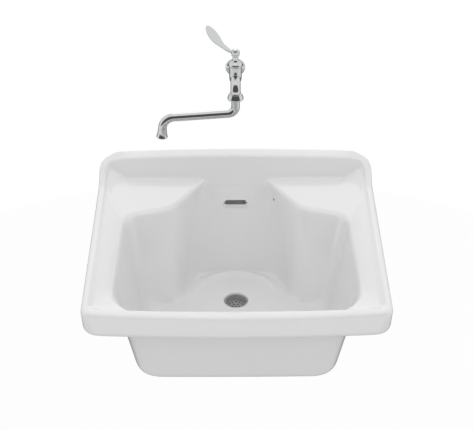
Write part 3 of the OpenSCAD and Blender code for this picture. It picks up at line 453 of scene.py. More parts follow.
def carved(base, steps):
    """Runs boolean steps of (operation, cutter) on a bmesh and returns the result as a new bmesh."""
    target = scratch("carving", base)
    for operation, cutter in steps:
        tool = scratch("cutter", cutter)
        cut = target.modifiers.new("cut", 'BOOLEAN')
        cut.operation = operation
        cut.solver = 'EXACT'
        cut.object = tool
        tool.hide_render = True
    done = bmesh.new()
    done.from_mesh(target.evaluated_get(bpy.context.evaluated_depsgraph_get()).data)
    tools = [m.object for m in target.modifiers]
    for used in [target] + tools:
        mesh = used.data
        bpy.data.objects.remove(used)
        bpy.data.meshes.remove(mesh)
    return done


def box_between(low, high):
    bm = bmesh.new()
    bmesh.ops.create_cube(bm, size=1.0)
    low, high = Vector(low), Vector(high)
    bmesh.ops.scale(bm, vec=high - low, verts=bm.verts)
    moved(bm, (low + high) / 2)
    return bm


def prism_across(points, half_width):
    """A flat outline of (y, z) points pushed out to both sides along X."""
    bm = bmesh.new()
    edges = outline_loop(bm, [(-half_width, y, z) for y, z in points])
    face = bmesh.ops.contextual_create(bm, geom=edges)["faces"]
    top = bmesh.ops.extrude_face_region(bm, geom=face)["geom"]
    bmesh.ops.translate(bm, vec=(2 * half_width, 0, 0), verts=verts_of(top))
    closed_normals(bm)
    return bm


# ---------------------------------------------------------------- the basin's rings

# Points on each rounded corner, and between corners: front, side, shelf, diagonal, back
CORNER_STEPS = 10
EDGE_STEPS = (14, 30, 6, 8, 8)
# The side's points crowd towards the wall, where the rim climbs
SIDE_CROWDING = 1.7
# How far the rings run past the wall's plane, where the china is then cut flat
PAST_WALL = 0.002
SKIRT = 0.014
UNDERSIDE = -0.028
# Share of the way from the bowl's edge to its floor, and the depth, of two rings between them
UPPER_SHARE, UPPER_DEPTH = 0.13, 0.038
MIDDLE_SHARE, MIDDLE_DEPTH = 0.35, 0.078
# Falls at the drain: floor to the hole's edge, floor to the outside, edge to seat, seat to outlet
HOLE_FALL = 0.006
OUTSIDE_FALL = 0.014
SEAT_FALL = 0.027
OUTLET_FALL = 0.017
OUTLET_R = 0.0225
BOSS_R = 0.042


def ease(t):
    t = max(0.0, min(1.0, t))
    return t * t * (3 - 2 * t)


def bend_point(a, p, b, t):
    return (1 - t) ** 2 * a + 2 * t * (1 - t) * p + t * t * b


def half_outline(keys):
    """Left half of a ring, from the middle of the front to the middle of the back."""
    flat = [Vector(k[:2]) for k in keys]

    def cut_in(i, j):
        edge = flat[j] - flat[i]
        room = 0.98 * edge.length / (keys[i][2] + keys[j][2])
        return flat[i] + edge.normalized() * keys[i][2] * min(1, room)

    points = []
    for i in range(1, len(keys)):
        last = i == len(keys) - 1
        a = flat[0] if i == 1 else cut_in(i - 1, i)
        b = flat[i] if last else cut_in(i, i - 1)
        n = EDGE_STEPS[i - 1]
        power = SIDE_CROWDING if i == 2 else 1.0
        for k in range(0 if i == 1 else 1, n):
            points.append(a + (b - a) * (1 - (1 - k / n) ** power))
        if last:
            points.append(b)
        else:
            points += [bend_point(b, flat[i], cut_in(i, i + 1), k / CORNER_STEPS)
                       for k in range(CORNER_STEPS + 1)]
    return points


def basin_ring(z, corners, height, shift=None):
    """A whole ring: the left half, its mirror image, the bowed front, and a height for each point."""
    keys = [(0, corners[0][1], 0)] + corners + [(0, corners[-1][1], 0)]
    left = half_outline(keys)
    flat = left + [Vector((-p.x, p.y)) for p in left[-2:0:-1]]
    hw = z.width / 2
    ring = []
    for p in flat:
        y = p.y - z.bow * (1 - min(1, abs(p.x) / hw) ** 2) * max(0, -p.y / z.depth) ** 3
        if shift:
            y += shift(p.x, p.y)
        ring.append(Vector((p.x, y, height(p.x, p.y) if callable(height) else height)))
    return ring


def drain_levels(z):
    """Heights of the drain hole's edge, the floor's outside and the outlet's seat."""
    edge_z = -(z.bowl + HOLE_FALL)
    return edge_z, -(z.bowl + OUTSIDE_FALL), edge_z - SEAT_FALL


def drain_circle(z, base, r, height):
    """A ring's points, each moved straight to a circle about the drain."""
    ring = []
    for p in base:
        d = Vector((p.x, p.y + z.drain_out)).normalized()
        ring.append(Vector((r * d.x, r * d.y - z.drain_out, height(d.y) if callable(height) else height)))
    return ring


def rounded_rings(chain):
    """Rounds each ring of a closed chain towards its neighbours: (ring, reach, steps)."""
    rings = []
    for i, (here, reach, steps) in enumerate(chain):
        before = chain[i - 1][0]
        after = chain[(i + 1) % len(chain)][0]
        ends = []
        for p, q, n in zip(here, before, after):
            a = p + (q - p) * min(0.48, reach / max(1e-6, (q - p).length))
            b = p + (n - p) * min(0.48, reach / max(1e-6, (n - p).length))
            ends.append((a, p, b))
        for k in range(steps + 1):
            rings.append([bend_point(a, p, b, k / steps) for a, p, b in ends])
    return rings


def basin_chain(z):
    """The closed chain of rings: rim, bowl, drain, boss, underside and apron."""
    hw = z.width / 2
    foot = z.upstand_top + z.upstand_slope
    edge_x = hw - z.ledge
    bead_x = hw - z.bead
    bead_y = z.depth - z.front_bead

    def climb(x, y):
        return ((z.upstand - z.arch * (x / hw) ** 2) * (1 - 0.25 * ease((abs(x) - hw + 0.050) / 0.050))
                * ease((y + 0.093) / 0.083))

    def rim(x, y):
        return climb(x, y) - z.dip * (1 - min(1, abs(x) / hw) ** 2) * ease((-y - z.depth + 0.200) / 0.200)

    # the foot of the upstand's face rises at its ends until it meets the rim
    def face_end(x):
        return ease((abs(x) - hw + 0.060) / 0.044)

    def foot_level(x, y):
        return -0.003 - 0.002 * ease((-y - z.depth + 0.200) / 0.150)

    def foot_height(x, y):
        return foot_level(x, y) + climb(x, y) * face_end(x)

    def foot_shift(x, y):
        return 0.014 * face_end(x) * ease((y + foot + 0.030) / 0.030)

    # between the shelves the upstand's face runs on into the recess without a ledge
    def lip(x, y):
        return (1 - ease((abs(x) - z.recess + 0.008) / 0.012)) * ease((y + 0.250) / 0.100)

    def edge_height(x, y):
        return -0.003 - z.ledge_fall * max(0, min(1, (-y - foot) / 0.110)) - 0.014 * lip(x, y)

    def edge_shift(x, y):
        return -0.005 * lip(x, y)

    edge = [(-edge_x, -(bead_y - 0.007), 0.092), (-(edge_x - 0.009), -(z.shelf + z.sweep), 0.034),
            (-z.shoulder, -z.shelf, 0.024), (-z.recess, -(foot + 0.0015), 0.008)]
    floor = [(-(edge_x - z.side_lean - 0.003), -(bead_y - 0.001 - z.front_lean), 0.072),
             (-(edge_x - z.side_lean + 0.004), -(z.shelf + z.sweep + z.shelf_lean), 0.034),
             (-(z.shoulder - 0.011), -(z.shelf + z.shelf_lean), 0.030),
             (-(z.recess + 0.032), -z.floor_back, 0.076)]

    def between(share, last):
        return [tuple(a + (b - a) * share for a, b in zip(e, f))
                for e, f in zip(edge[:3], floor[:3])] + [last]

    upper = between(UPPER_SHARE, (-(z.recess + 0.004), -(foot + 0.012), 0.036))
    middle = between(MIDDLE_SHARE, (-(z.recess + 0.008), -(foot + 0.023), 0.058))
    out = z.china
    outer_floor = [(floor[0][0] - out + 0.001, floor[0][1] - out - 0.007, 0.046),
                   (floor[1][0] - out, floor[1][1] + out - 0.002, 0.040),
                   (floor[2][0] + out - 0.020, floor[2][1] + out + 0.001, 0.014),
                   (floor[3][0] - 0.006, floor[3][1] + out + 0.004, 0.070)]
    outer_top = [(edge[0][0] + 0.007, edge[0][1] - 0.005, 0.080),
                 (edge[1][0] - out + 0.002, edge[1][1] + out + 0.002, 0.034),
                 (edge[2][0] - out + 0.003, edge[2][1] + out + 0.003, 0.020),
                 (edge[3][0] - out, edge[3][1] + out + 0.002, 0.008)]
    floor_z, outside_z, seat_z = drain_levels(z)
    outlet_z = seat_z - OUTLET_FALL

    def back(x, y, cut):
        return [(x, y, cut), (-z.shoulder, y, 0.004), (-z.recess, y, 0.004)]

    def skirt_back():
        return [(-(hw - SKIRT), -SKIRT, 0.040), (-(z.shoulder + 0.011), -SKIRT, 0.004),
                (-(z.recess + 0.008), -SKIRT, 0.004)]

    low = basin_ring(z, floor, -z.bowl)
    bowl_edge = basin_ring(z, edge, edge_height, edge_shift)
    foot_keys = [(-(bead_x - 0.007), -(bead_y - 0.005), 0.020), (-(bead_x - 0.005), -foot, 0.024),
                 (-z.shoulder, -foot, 0.004), (-z.recess - 0.003, -foot, 0.004)]
    face_foot = basin_ring(z, foot_keys, foot_height, foot_shift)
    # the ledge falls off quickly where the face's ends rise
    ledge = []
    for p, q, e in zip(face_foot, basin_ring(z, foot_keys, foot_level, foot_shift), bowl_edge):
        ledge.append(q + (e - q) * 0.22 + Vector((0, 0, 0.15 * (p.z - q.z))))
    rim_keys = [(-(hw + z.flare), -z.depth, 0.020)] + back(-hw, PAST_WALL, 0.046)
    crest_keys = [(-(bead_x + z.flare), -bead_y, 0.018)] + back(-(bead_x - 0.001), -z.upstand_top, 0.018)
    skirt_top = [(-(hw - SKIRT - 0.002), -(z.depth - SKIRT - 0.002), 0.016)] + skirt_back()
    skirt_foot = [(-(hw - SKIRT - 0.004), -(z.depth - SKIRT), 0.024)] + skirt_back()
    apron_foot = [(-(hw + z.flare - 0.002), -(z.depth + 0.001), 0.034)] + back(-hw, PAST_WALL, 0.046)

    def dish_rim(back_share):
        return -z.bowl - 0.002 + 0.010 * max(0, back_share)

    # each ring with the reach of its rounding and that rounding's steps
    return [
        (basin_ring(z, rim_keys, rim), 0.011, 8),
        (basin_ring(z, crest_keys, rim), 0.005, 6),
        (face_foot, 0.006, 6),
        (ledge, 0.012, 6),
        (bowl_edge, 0.012, 8),
        (basin_ring(z, upper, -UPPER_DEPTH), 0.018, 4),
        (basin_ring(z, middle, -MIDDLE_DEPTH), 0.050, 8),
        (low, 0.042, 14),
        (drain_circle(z, low, z.dish + 0.011, dish_rim), 0.008, 5),
        (drain_circle(z, low, z.dish, -(z.bowl + 0.003)), 0.016, 6),
        (drain_circle(z, low, z.drain, floor_z), 0.004, 6),
        (drain_circle(z, low, z.drain, seat_z), 0.0008, 2),
        (drain_circle(z, low, OUTLET_R, seat_z), 0.0008, 2),
        (drain_circle(z, low, OUTLET_R, outlet_z), 0.0015, 2),
        (drain_circle(z, low, BOSS_R, outlet_z), 0.003, 4),
        (drain_circle(z, low, BOSS_R, outside_z), 0.006, 4),
        (basin_ring(z, outer_floor, outside_z), 0.030, 12),
        (basin_ring(z, outer_top, UNDERSIDE), 0.010, 5),
        (basin_ring(z, skirt_top, UNDERSIDE), 0.010, 4),
        (basin_ring(z, skirt_foot, -z.apron), 0.004, 4),
        (basin_ring(z, apron_foot, -z.apron), 0.014, 8),
    ]


def stadium(half_length, r, grow=0.0, steps=10):
    """Outline of a slot with round ends, in its own plane."""
    points = []
    for side in (1, -1):
        for k in range(steps + 1):
            a = -pi / 2 + pi * k / steps
            points.append((side * (half_length + (r + grow) * cos(a)), side * (r + grow) * sin(a)))
    return points


# The overflow slot's rings: how far in from the recess wall, and how much wider than the slot
SLOT_RINGS = ((0.0135, 0.0), (0.0030, 0.0), (0.0012, 0.0003), (0.0004, 0.0009), (0.0, 0.0017),
              (-0.006, 0.0080))
SLOT_FALL = 0.010
# Blind hole for the plug chain's stay, in the slanting wall on the right
STAY_PLACE = (0.0825, -0.0812, -0.037)
STAY_AXIS = (0.785, 0.588, -0.194)
STAY_R = 0.0030
STAY_LENGTH = 0.016
DUCT_GAP = 0.014
DUCT_WALL = 0.009
POCKET_GAP = 0.005


class SINK_OT_basin(bpy.types.Operator):
    """Lofts the one-piece china basin and carves its overflow, duct and hanger pockets"""
    bl_idname = "sink.basin"
    bl_label = "Basin"

    def execute(self, context):
        z = context.scene.sink_sizes
        bm = bmesh.new()
        loft(bm, rounded_rings(basin_chain(z)), closed=True)
        bmesh.ops.bisect_plane(bm, geom=bm.verts[:] + bm.edges[:] + bm.faces[:], plane_co=(0, 0, 0),
                               plane_no=(0, 1, 0), clear_outer=True)
        rim = [e for e in bm.edges if e.is_boundary]
        bmesh.ops.contextual_create(bm, geom=rim)
        closed_normals(bm)

        # where the overflow breaks through the recess wall, and how that wall leans
        tree = BVHTree.FromBMesh(bm)
        start = Vector((0, -0.3, -z.slot_depth))
        hit, normal, _, _ = tree.ray_cast(start, Vector((0, 1, 0)))
        lean = atan2(abs(normal.z), abs(normal.y))
        slot = bmesh.new()
        straight = (z.slot_width - z.slot_height) / 2
        rings = []
        for inward, grow in SLOT_RINGS:
            deep = inward > 0.01
            rings.append([
                Vector((u, hit.y + inward - v * sin(lean) * (not deep),
                        hit.z + v * cos(lean) - SLOT_FALL * (deep and v < 0)))
                for u, v in stadium(straight, z.slot_height / 2, grow)])
        first, last = loft(slot, rings)
        for end in (first, last):
            bmesh.ops.contextual_create(slot, geom=end)
        closed_normals(slot)

        stay = bmesh.new()
        outward = Vector(STAY_AXIS).normalized()
        hole = tree.ray_cast(Vector(STAY_PLACE) - outward * 0.05, outward)[0]
        bmesh.ops.create_cone(stay, cap_ends=True, segments=24, radius1=STAY_R, radius2=STAY_R,
                              depth=STAY_LENGTH)
        moved(stay, hole, along(outward))

        # duct behind the recess, from the overflow down to the drain
        out = z.china
        foot = z.upstand_top + z.upstand_slope + 0.0015
        top_y, low_y = -foot + out + 0.002, -z.floor_back + out + 0.004
        _, outside_z, seat_z = drain_levels(z)

        def back_y(height):
            return top_y + (low_y - top_y) * (height - UNDERSIDE) / (outside_z - UNDERSIDE)

        gap, thick = DUCT_GAP, DUCT_WALL
        duct_top = -(z.slot_depth - z.slot_height)
        duct_low = outside_z + 0.008
        duct_floor = seat_z + 0.001
        half = (z.slot_width - 0.006) / 2
        solid = prism_across([
            (back_y(duct_top) - 0.004, duct_top + thick),
            (back_y(duct_top) + gap + thick, duct_top + thick - 0.006),
            (back_y(duct_low) + gap + thick, duct_low),
            (-z.floor_back + gap + thick - 0.012, duct_floor - thick),
            (-(z.drain_out - 0.030), duct_floor - thick), (-(z.drain_out - 0.030), outside_z + 0.004),
            (back_y(duct_low) - 0.006, outside_z + 0.014)], half + thick)
        upright = [e for e in solid.edges if abs((e.verts[0].co - e.verts[1].co).normalized().x) < 0.5]
        bmesh.ops.bevel(solid, geom=upright, offset=0.004, segments=4, profile=0.5, affect='EDGES',
                        material=-1)
        hollow = prism_across([
            (back_y(duct_top) - 0.007, duct_top), (back_y(duct_top) + gap, duct_top - 0.004),
            (back_y(duct_low) + gap, duct_low), (-z.floor_back + gap - 0.010, duct_floor),
            (-(z.drain_out - 0.012), duct_floor), (-(z.drain_out - 0.012), outside_z - 0.002),
            (-z.floor_back - 0.008, outside_z - 0.002), (back_y(duct_low) - 0.001, duct_low + 0.006)], half)

        steps = [('UNION', solid), ('DIFFERENCE', hollow), ('DIFFERENCE', slot), ('DIFFERENCE', stay)]
        for node in ("hanger_left", "hanger_right"):
            low, high = (Vector(corner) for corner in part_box(node))
            low_x, high_x = low.x - POCKET_GAP, high.x + POCKET_GAP
            top = high.z - 0.009
            # the pocket, the shallow seat of the wall plate below it, and the slot for the hook
            for near, far in (((low_x, -0.020, -0.021), (high_x, 0.005, top)),
                              ((low_x, -0.006, low.z - 0.007), (high_x, 0.005, -0.0205)),
                              ((low_x, -0.020, top - 1e-5), (high_x, -0.014, high.z + 0.001))):
                steps.append(('DIFFERENCE', box_between(near, far)))
        bm = carved(bm, steps)
        bmesh.ops.remove_doubles(bm, verts=bm.verts, dist=1e-6)
        piece("china_basin", bm, "sink", "china", ["basin"], sharp=38.0)
        return {'FINISHED'}


# ---------------------------------------------------------------- the faucet

def blended(name, shapes, voxel, rounds, body, slot, nodes=()):
    """Melts overlapping shapes into one casting with soft inner corners."""
    rough = scratch(name + "_rough", carved(shapes[0], [('UNION', other) for other in shapes[1:]]))
    remesh = rough.modifiers.new("melt", 'REMESH')
    remesh.mode = 'VOXEL'
    remesh.voxel_size = voxel
    smooth = rough.modifiers.new("polish", 'SMOOTH')
    smooth.factor = 0.5
    smooth.iterations = rounds
    done = bmesh.new()
    done.from_mesh(rough.evaluated_get(bpy.context.evaluated_depsgraph_get()).data)
    mesh = rough.data
    bpy.data.objects.remove(rough)
    bpy.data.meshes.remove(mesh)
    return piece(name, done, body, slot, nodes, sharp=60.0)


def rod(r, a, b):
    """A plain round bar from a to b."""
    bm = bmesh.new()
    a, b = Vector(a), Vector(b)
    bmesh.ops.create_cone(bm, cap_ends=True, segments=64, radius1=r, radius2=r, depth=(b - a).length)
    moved(bm, (a + b) / 2, along(b - a))
    return bm


TOWARDS_WALL = Matrix.Rotation(-pi / 2, 3, 'X')
OUT_OF_WALL = Matrix.Rotation(pi / 2, 3, 'X')


class SINK_OT_faucet_body(bpy.types.Operator):
    """Casts the faucet's body: barrel, neck and the branch that turns down to the spout"""
    bl_idname = "sink.faucet_body"
    bl_label = "Faucet body"

    def execute(self, context):
        f = context.scene.faucet_sizes
        stem = Vector((0, -f.stem, f.inlet))
        leg = Vector((0, -f.stem - f.branch, f.inlet))
        r = f.barrel / MM
        top = f.barrel_height / MM
        barrel = turned([(0, -14.5, 0), (4.5, -14.4, 1), (9.4, -12.2, 3), (12.4, -7.2, 3), (r, -1, 3),
                         (r, top, 0.6), (0, top, 0)], steps=128, move=stem)
        bend = 15.5 * MM
        elbow = bmesh.new()
        bmesh.ops.create_circle(elbow, cap_ends=False, radius=10.6 * MM, segments=64)
        moved(elbow, leg + Vector((0, bend, 0)), OUT_OF_WALL)
        edges = elbow.edges[:]
        grown = bmesh.ops.extrude_edge_only(elbow, edges=edges)["geom"]
        bmesh.ops.translate(elbow, verts=verts_of(grown), vec=(0, f.branch - bend - 4 * MM, 0))
        last = bmesh.ops.spin(elbow, geom=edges, cent=leg + Vector((0, bend, -bend)), axis=(1, 0, 0),
                              angle=pi / 2, steps=24, use_merge=False)["geom_last"]
        down = bmesh.ops.extrude_edge_only(elbow, edges=edges_of(last))["geom"]
        bmesh.ops.translate(elbow, verts=verts_of(down), vec=(0, 0, -8 * MM))
        bmesh.ops.holes_fill(elbow, edges=[e for e in elbow.edges if e.is_boundary])
        closed_normals(elbow)
        neck = rod(7.8 * MM, stem + Vector((0, 4 * MM, 0)), Vector((0, -0.0005, f.inlet)))
        blended("faucet_casting", [barrel, elbow, neck], 0.00042, 14, "sink", "chrome", ["faucet_body"])

        # threaded shank that enters the wall, with its bore
        profile = [(7.8, -4, 0), (7.8, 0, 0)]
        pitch = 1.814
        count = int(17 / pitch)
        for k in range(count):
            profile += [(9.4, 0.4 + k * pitch, 0), (10.48, 0.4 + (k + 0.5) * pitch, 0)]
        profile += [(9.4, 0.4 + count * pitch, 0), (9.4, 17.2, 0), (8.8, 18, 0), (5.5, 18, 0), (5.5, -4, 0)]
        lathed("inlet_shank", "sink", (), profile, steps=64, tilt=TOWARDS_WALL, move=(0, 0, f.inlet))

        # thread below the branch, inside the spout nut
        t = f.tube / MM
        lathed("branch_thread", "sink", (), [(t + 0.1, -19, 0), (12.15, -19, 0.4), (12.15, -26, 0.4),
                                             (t + 0.1, -26, 0)], move=leg)
        lathed("wall_flange", "sink", ["faucet_flange"], [
            (7.9, 0, 0), (21, 0, 0.3), (21, 1.2, 0.5), (19.5, 3.5, 1.5), (16, 5.7, 3), (12.2, 7.3, 2.5),
            (10.2, 8, 0.8), (7.9, 8, 0.4)], steps=128, tilt=OUT_OF_WALL, move=(0, 0, f.inlet))
        return {'FINISHED'}


class SINK_OT_nuts(bpy.types.Operator):
    """Turns the bell-shaped cover nut and the spout's union nut"""
    bl_idname = "sink.nuts"
    bl_label = "Cover and spout nuts"

    def execute(self, context):
        f = context.scene.faucet_sizes
        h = f.barrel_height / MM
        lathed("cover_bell", "sink", ["cover_nut"], [
            (4.06, h + 7, 0), (4.06, h + 22.5, 0.2), (5.9, h + 22.5, 0.5), (5.8, h + 14.6, 3),
            (6.9, h + 11.2, 3), (11.2, h + 8.2, 3), (14.6, h + 4.6, 2), (14.6, h + 1.2, 0.9),
            (13.6, h, 0.4), (9.95, h, 0), (9.95, h - 4.4, 0), (8.2, h - 4.4, 0), (8.2, h + 3.5, 0)],
            steps=128, move=(0, -f.stem, f.inlet))
        t = f.tube / MM
        lathed("union_nut", "sink", ["spout_nut"], [
            (12.25, -19, 0), (13.0, -19, 0.3), (13.9, -21.6, 2), (15.9, -26, 3), (16.9, -28.8, 1.5),
            (16.9, -31.2, 1.2), (15.6, -32.5, 0.8), (t + 0.06, -32.5, 0.3), (t + 0.06, -31, 0),
            (12.25, -31, 0)], steps=128, move=(0, -f.stem - f.branch, f.inlet))
        return {'FINISHED'}


class SINK_OT_lever(bpy.types.Operator):
    """Shapes the lever: a turned hub and a leaf-shaped blade that sweeps out and up"""
    bl_idname = "sink.lever"
    bl_label = "Lever"

    def execute(self, context):
        f = context.scene.faucet_sizes
        low = f.barrel_height / MM + 23.0
        top = low + 12.5
        hub = turned([(0, low + 0.4, 0), (4.02, low + 0.4, 0), (4.02, low, 0.1), (7.2, low, 0.6),
                      (8.2, low + 1.4, 0.6), (8.2, low + 4.4, 0.6), (8.8, low + 5.4, 0.6),
                      (8.8, low + 11.3, 1.2), (7.6, top, 0.6), (5.2, top, 0), (5.2, low + 9, 0),
                      (0, low + 9, 0)], steps=128)

        root = Vector((8.8 - 3, top - 5)) * MM
        tip = Vector((f.lever, root.y + f.lever_rise))
        knees = (Vector((f.lever * 0.43, root.y + 0.0045)),
                 Vector((f.lever * 0.66, root.y + f.lever_rise * 0.46)))

        def line(t):
            return ((1 - t) ** 3 * root + 3 * t * (1 - t) ** 2 * knees[0] + 3 * t * t * (1 - t) * knees[1]
                    + t ** 3 * tip)

        def half_width(t):
            narrow = 0.0045
            wide = f.blade / 2
            if t < 0.3:
                return narrow + (wide - narrow) * 0.28 * ease(t / 0.3)
            grown = narrow + (wide - narrow) * (0.28 + 0.72 * ease((t - 0.3) / 0.42))
            return grown * sqrt(max(0.0004, 1 - max(0, (t - 0.72) / 0.2801) ** 2))

        def half_thick(t):
            end = sqrt(max(0.02, 1 - max(0, (t - 0.94) / 0.0601) ** 2))
            return f.blade_thick / 2 * (1 + 0.5 * (1 - ease(t / 0.35))) * end

        blade = bmesh.new()
        rings = []
        stations, sides = 56, 40
        for i in range(stations + 1):
            t = 1 - (1 - i / stations) ** 1.35
            p = line(t)
            d = (line(min(1, t + 0.01)) - line(max(0, t - 0.01))).normalized()
            ring = []
            for k in range(sides):
                a = 2 * pi * k / sides
                across = half_width(t) * cos(a)
                # the blade's upper face is slightly hollow
                hollow = 0.35 * ease((t - 0.3) / 0.3) * (1 - abs(cos(a))) * (sin(a) > 0)
                up = half_thick(t) * sin(a) * (1 - hollow)
                ring.append(Vector((p.x - d.y * up, across, p.y + d.x * up)))
            rings.append(ring)
        for end in loft(blade, rings):
            bmesh.ops.contextual_create(blade, geom=end)
        closed_normals(blade)
        moved(blade, turn=Matrix.Rotation(f.lever_turn, 3, 'Z'))
        both = carved(hub, [('UNION', blade)])
        moved(both, (0, -f.stem, f.inlet))
        piece("lever_blade", both, "lever", "chrome", ["lever_handle"], sharp=50.0)

        lathed("lever_cap", "lever", ["handle_cap"], [
            (0, top + 3.4, 0), (3.2, top + 3.3, 2), (6.2, top + 2.0, 2), (7.1, top + 0.05, 0.4),
            (0, top + 0.05, 0)], move=(0, -f.stem, f.inlet))
        return {'FINISHED'}


class SINK_OT_spout(bpy.types.Operator):
    """Bends the swivel spout from one tube and fits its outlet"""
    bl_idname = "sink.spout"
    bl_label = "Spout"

    def execute(self, context):
        f = context.scene.faucet_sizes
        r = f.tube
        first, second, lean = 0.016, 0.026, radians(4)
        top = -0.021
        second_dx = second * (cos(lean) - sin(f.fall))
        second_dz = second * (cos(f.fall) - sin(lean))
        tail = (f.outlet_drop - second_dz) / cos(lean)
        run = (f.reach - first * (1 - sin(f.fall)) - second_dx - tail * sin(lean)) / cos(f.fall)

        bm = bmesh.new()
        bmesh.ops.create_circle(bm, cap_ends=False, radius=r, segments=48)
        moved(bm, (0, 0, top))
        edges = bm.edges[:]

        def straight(edges, vec, steps=1):
            for _ in range(steps):
                made = bmesh.ops.extrude_edge_only(bm, edges=edges)["geom"]
                verts = verts_of(made)
                bmesh.ops.translate(bm, verts=verts, vec=Vector(vec) / steps)
                edges = edges_among(made, set(verts))
            return edges

        def bent(edges, centre, angle, steps):
            made = bmesh.ops.spin(bm, geom=edges, cent=centre, axis=(0, 1, 0), angle=angle, steps=steps,
                                  use_merge=False)
            return edges_of(made["geom_last"])

        level = -(f.drop - first)
        edges = straight(edges, (0, 0, level - top), 4)
        edges = bent(edges, (first, 0, level), -(pi / 2 - f.fall), 20)
        start = Vector((first * (1 - sin(f.fall)), 0, level - first * cos(f.fall)))
        ahead = Vector((cos(f.fall), 0, -sin(f.fall)))
        edges = straight(edges, ahead * run, 12)
        end = start + ahead * run
        centre = end + second * Vector((-sin(f.fall), 0, -cos(f.fall)))
        edges = bent(edges, centre, pi / 2 - f.fall - lean, 22)
        down = Vector((sin(lean), 0, -cos(lean)))
        tip = end + Vector((second_dx, 0, -second_dz))
        edges = straight(edges, down * tail, 4)
        closed_normals(bm)
        bmesh.ops.solidify(bm, geom=bm.faces[:], thickness=f.tube_wall)
        closed_normals(bm)

        def settle(shape):
            moved(shape, (0, -f.stem - f.branch, f.inlet), Matrix.Rotation(f.spout_turn, 3, 'Z'))

        settle(bm)
        piece("swan_tube", bm, "spout", "chrome", ["spout_tube"], sharp=50.0)

        t = r / MM
        collar = turned([(t + 0.02, -1, 0.2), (t + 2.4, -1, 0.4), (t + 3.1, -0.3, 0.5), (t + 2.9, 1.2, 1),
                         (t + 2.0, 4.5, 3), (t + 1.1, 9.5, 4), (t + 0.55, 15, 3), (t + 0.3, 20, 0.1),
                         (t + 0.02, 20, 0)])
        moved(collar, tip + down * tail, Matrix.Rotation(-lean, 3, 'Y'))
        settle(collar)
        piece("outlet_bell", collar, "spout", "chrome", ["outlet_collar"])
        return {'FINISHED'}


class SINK_OT_fittings(bpy.types.Operator):
    """Gives every carried-over CAD piece its finish"""
    bl_idname = "sink.fittings"
    bl_label = "Fittings"

    def execute(self, context):
        for name, node in frame["nodes"].items():
            finish = finish_of(SLOT_OF[name])
            for slot in node.material_slots:
                slot.material = finish
        return {'FINISHED'}


# ---------------------------------------------------------------- the stage

WORLD_LIGHT = 0.76
# name, place, aim, diameter, power
LAMPS = (
    ("overhead", (0.0, -0.7, 2.2), (0, -0.25, 0), 1.8, 1.6),
    ("front", (0.0, -2.6, 2.6), (0, -0.25, 0), 1.6, 9.8),
    ("rear", (0.0, 1.2, 1.8), (0, -0.25, 0), 1.4, 2.8),
    ("left", (-2.2, -0.7, 1.5), (0, -0.3, -0.1), 1.4, 3.6),
    ("right", (2.2, -0.7, 1.5), (0, -0.3, -0.1), 1.4, 3.6),
)


FLOOR_PLACE = (0, -0.3, -0.80)
FLOOR_R = 1.5
# The photo's camera: focal length and width in pixels, place, tilt down and turn, in degrees
FOCAL_PX = 1400.0
PHOTO_WIDTH_PX = 473.0
SENSOR_MM = 36.0
CAMERA_PLACE = (-0.014198, -2.65702, 1.66361)
CAMERA_DOWN = 34.05
CAMERA_TURN = -0.36


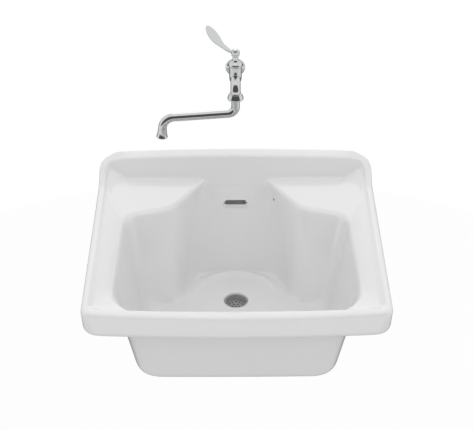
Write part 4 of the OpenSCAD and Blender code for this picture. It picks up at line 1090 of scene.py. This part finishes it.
class SINK_OT_stage(bpy.types.Operator):
    """Sets the pale floor, the white backdrop, the soft lamps and the camera"""
    bl_idname = "sink.stage"
    bl_label = "Stage"

    def execute(self, context):
        scene = context.scene
        scene.view_settings.view_transform = 'Standard'

        floor = bmesh.new()
        bmesh.ops.create_circle(floor, cap_ends=True, radius=FLOOR_R, segments=96)
        moved(floor, FLOOR_PLACE)
        mesh = bpy.data.meshes.new("floor")
        floor.to_mesh(mesh)
        floor.free()
        ground = bpy.data.objects.new("floor", mesh)
        scene.collection.objects.link(ground)
        pale = bpy.data.materials.new("Pale floor")
        pale.use_nodes = True
        s = Shader(pale.node_tree)
        ray = s.add('ShaderNodeLightPath', {})
        glow = s.add('ShaderNodeEmission', {}, (1, 1, 1, 1), 1.0)
        matt = s.add('ShaderNodeBsdfDiffuse', {}, (0.8, 0.8, 0.8, 1))
        s.add('ShaderNodeOutputMaterial', {}, s.add('ShaderNodeMixShader', {}, ray * 0.95, matt, glow))
        mesh.materials.append(pale)
        ground.visible_glossy = False

        world = bpy.data.worlds.new("Studio")
        scene.world = world
        world.use_nodes = True
        s = Shader(world.node_tree)
        camera_ray = s.add('ShaderNodeLightPath', {})
        glossy_ray = s.add('ShaderNodeLightPath', {}, out=3)
        towards = s.add('ShaderNodeTexCoord', {})
        right, back, up = (s.add('ShaderNodeSeparateXYZ', {}, towards, out=k) for k in range(3))
        # what the glaze and the metal mirror: a pale studio, grey below, dark towards the camera and
        # behind, where one bright panel stands
        camera_side = ((1.0 - back.above(-0.55, -0.30)) * up.above(-0.32, -0.12)
                       * (1.0 - up.above(0.80, 0.93)))
        rear = back.above(0.25, 0.60) * (1.0 - up.above(-0.35, 0.05))
        under = (1.0 - up.above(-0.80, -0.40)) * back.above(-0.75, -0.50)
        panel = back.above(0.4, 0.6) * right.above(-0.26, -0.14) * (1.0 - right.above(0.14, 0.26))
        tone = s.mix(up.above(0.75, 0.97), (1.05, 1.05, 1.05), (0.95, 0.95, 0.96))
        tone = s.mix(panel, tone, (1.7, 1.7, 1.7))
        tone = s.mix(under, tone, (0.50, 0.50, 0.51))
        tone = s.mix(camera_side, tone, (0.11, 0.11, 0.11))
        tone = s.mix(rear, tone, (0.16, 0.16, 0.16))
        lit = s.add('ShaderNodeBackground', {}, (1, 1, 1, 1), WORLD_LIGHT)
        seen = s.add('ShaderNodeBackground', {}, tone, 1.0)
        white = s.add('ShaderNodeBackground', {}, (1, 1, 1, 1), 1.0)
        both = s.add('ShaderNodeMixShader', {}, glossy_ray, lit, seen)
        s.add('ShaderNodeOutputWorld', {}, s.add('ShaderNodeMixShader', {}, camera_ray, both, white))

        for name, place, aim, size, power in LAMPS:
            lamp = bpy.data.lights.new(name, 'AREA')
            lamp.shape = 'DISK'
            lamp.size = size
            lamp.energy = power
            shown = bpy.data.objects.new(name, lamp)
            shown.visible_glossy = name == "overhead"
            shown.location = place
            shown.rotation_euler = (Vector(aim) - Vector(place)).to_track_quat('-Z', 'Y').to_euler()
            scene.collection.objects.link(shown)

        eye = bpy.data.cameras.new("camera")
        eye.sensor_width = SENSOR_MM
        eye.lens = FOCAL_PX / PHOTO_WIDTH_PX * SENSOR_MM
        eye.clip_end = 50.0
        camera = bpy.data.objects.new("camera", eye)
        camera.location = CAMERA_PLACE
        camera.rotation_euler = (radians(90 - CAMERA_DOWN), 0, radians(CAMERA_TURN))
        scene.collection.objects.link(camera)
        scene.camera = camera
        return {'FINISHED'}


class SINK_PT_panel(bpy.types.Panel):
    """Lists the sink's pieces in the sidebar"""
    bl_idname = "SINK_PT_panel"
    bl_label = "Mop sink"
    bl_space_type = 'VIEW_3D'
    bl_region_type = 'UI'
    bl_category = "Sink"

    def draw(self, context):
        for group in (context.scene.sink_sizes, context.scene.faucet_sizes, context.scene.sink_finishes):
            box = self.layout.box()
            for name in group.__annotations__:
                box.prop(group, name)
        for step in STEPS:
            self.layout.operator(step.bl_idname)


GROUPS = (("sink_sizes", SinkSizes), ("faucet_sizes", FaucetSizes), ("sink_finishes", Finishes))
STEPS = (SINK_OT_fittings, SINK_OT_basin, SINK_OT_faucet_body, SINK_OT_nuts, SINK_OT_lever, SINK_OT_spout,
         SINK_OT_stage)


def register():
    for name, group in GROUPS:
        bpy.utils.register_class(group)
        setattr(bpy.types.Scene, name, PointerProperty(type=group))
    for made in STEPS + (SINK_PT_panel,):
        bpy.utils.register_class(made)


def unregister():
    for made in reversed(STEPS + (SINK_PT_panel,)):
        bpy.utils.unregister_class(made)
    for name, group in reversed(GROUPS):
        delattr(bpy.types.Scene, name)
        bpy.utils.unregister_class(group)


def main():
    register()
    for step in STEPS:
        group, name = step.bl_idname.split(".")
        getattr(getattr(bpy.ops, group), name)()


if __name__ == "__main__":
    main()
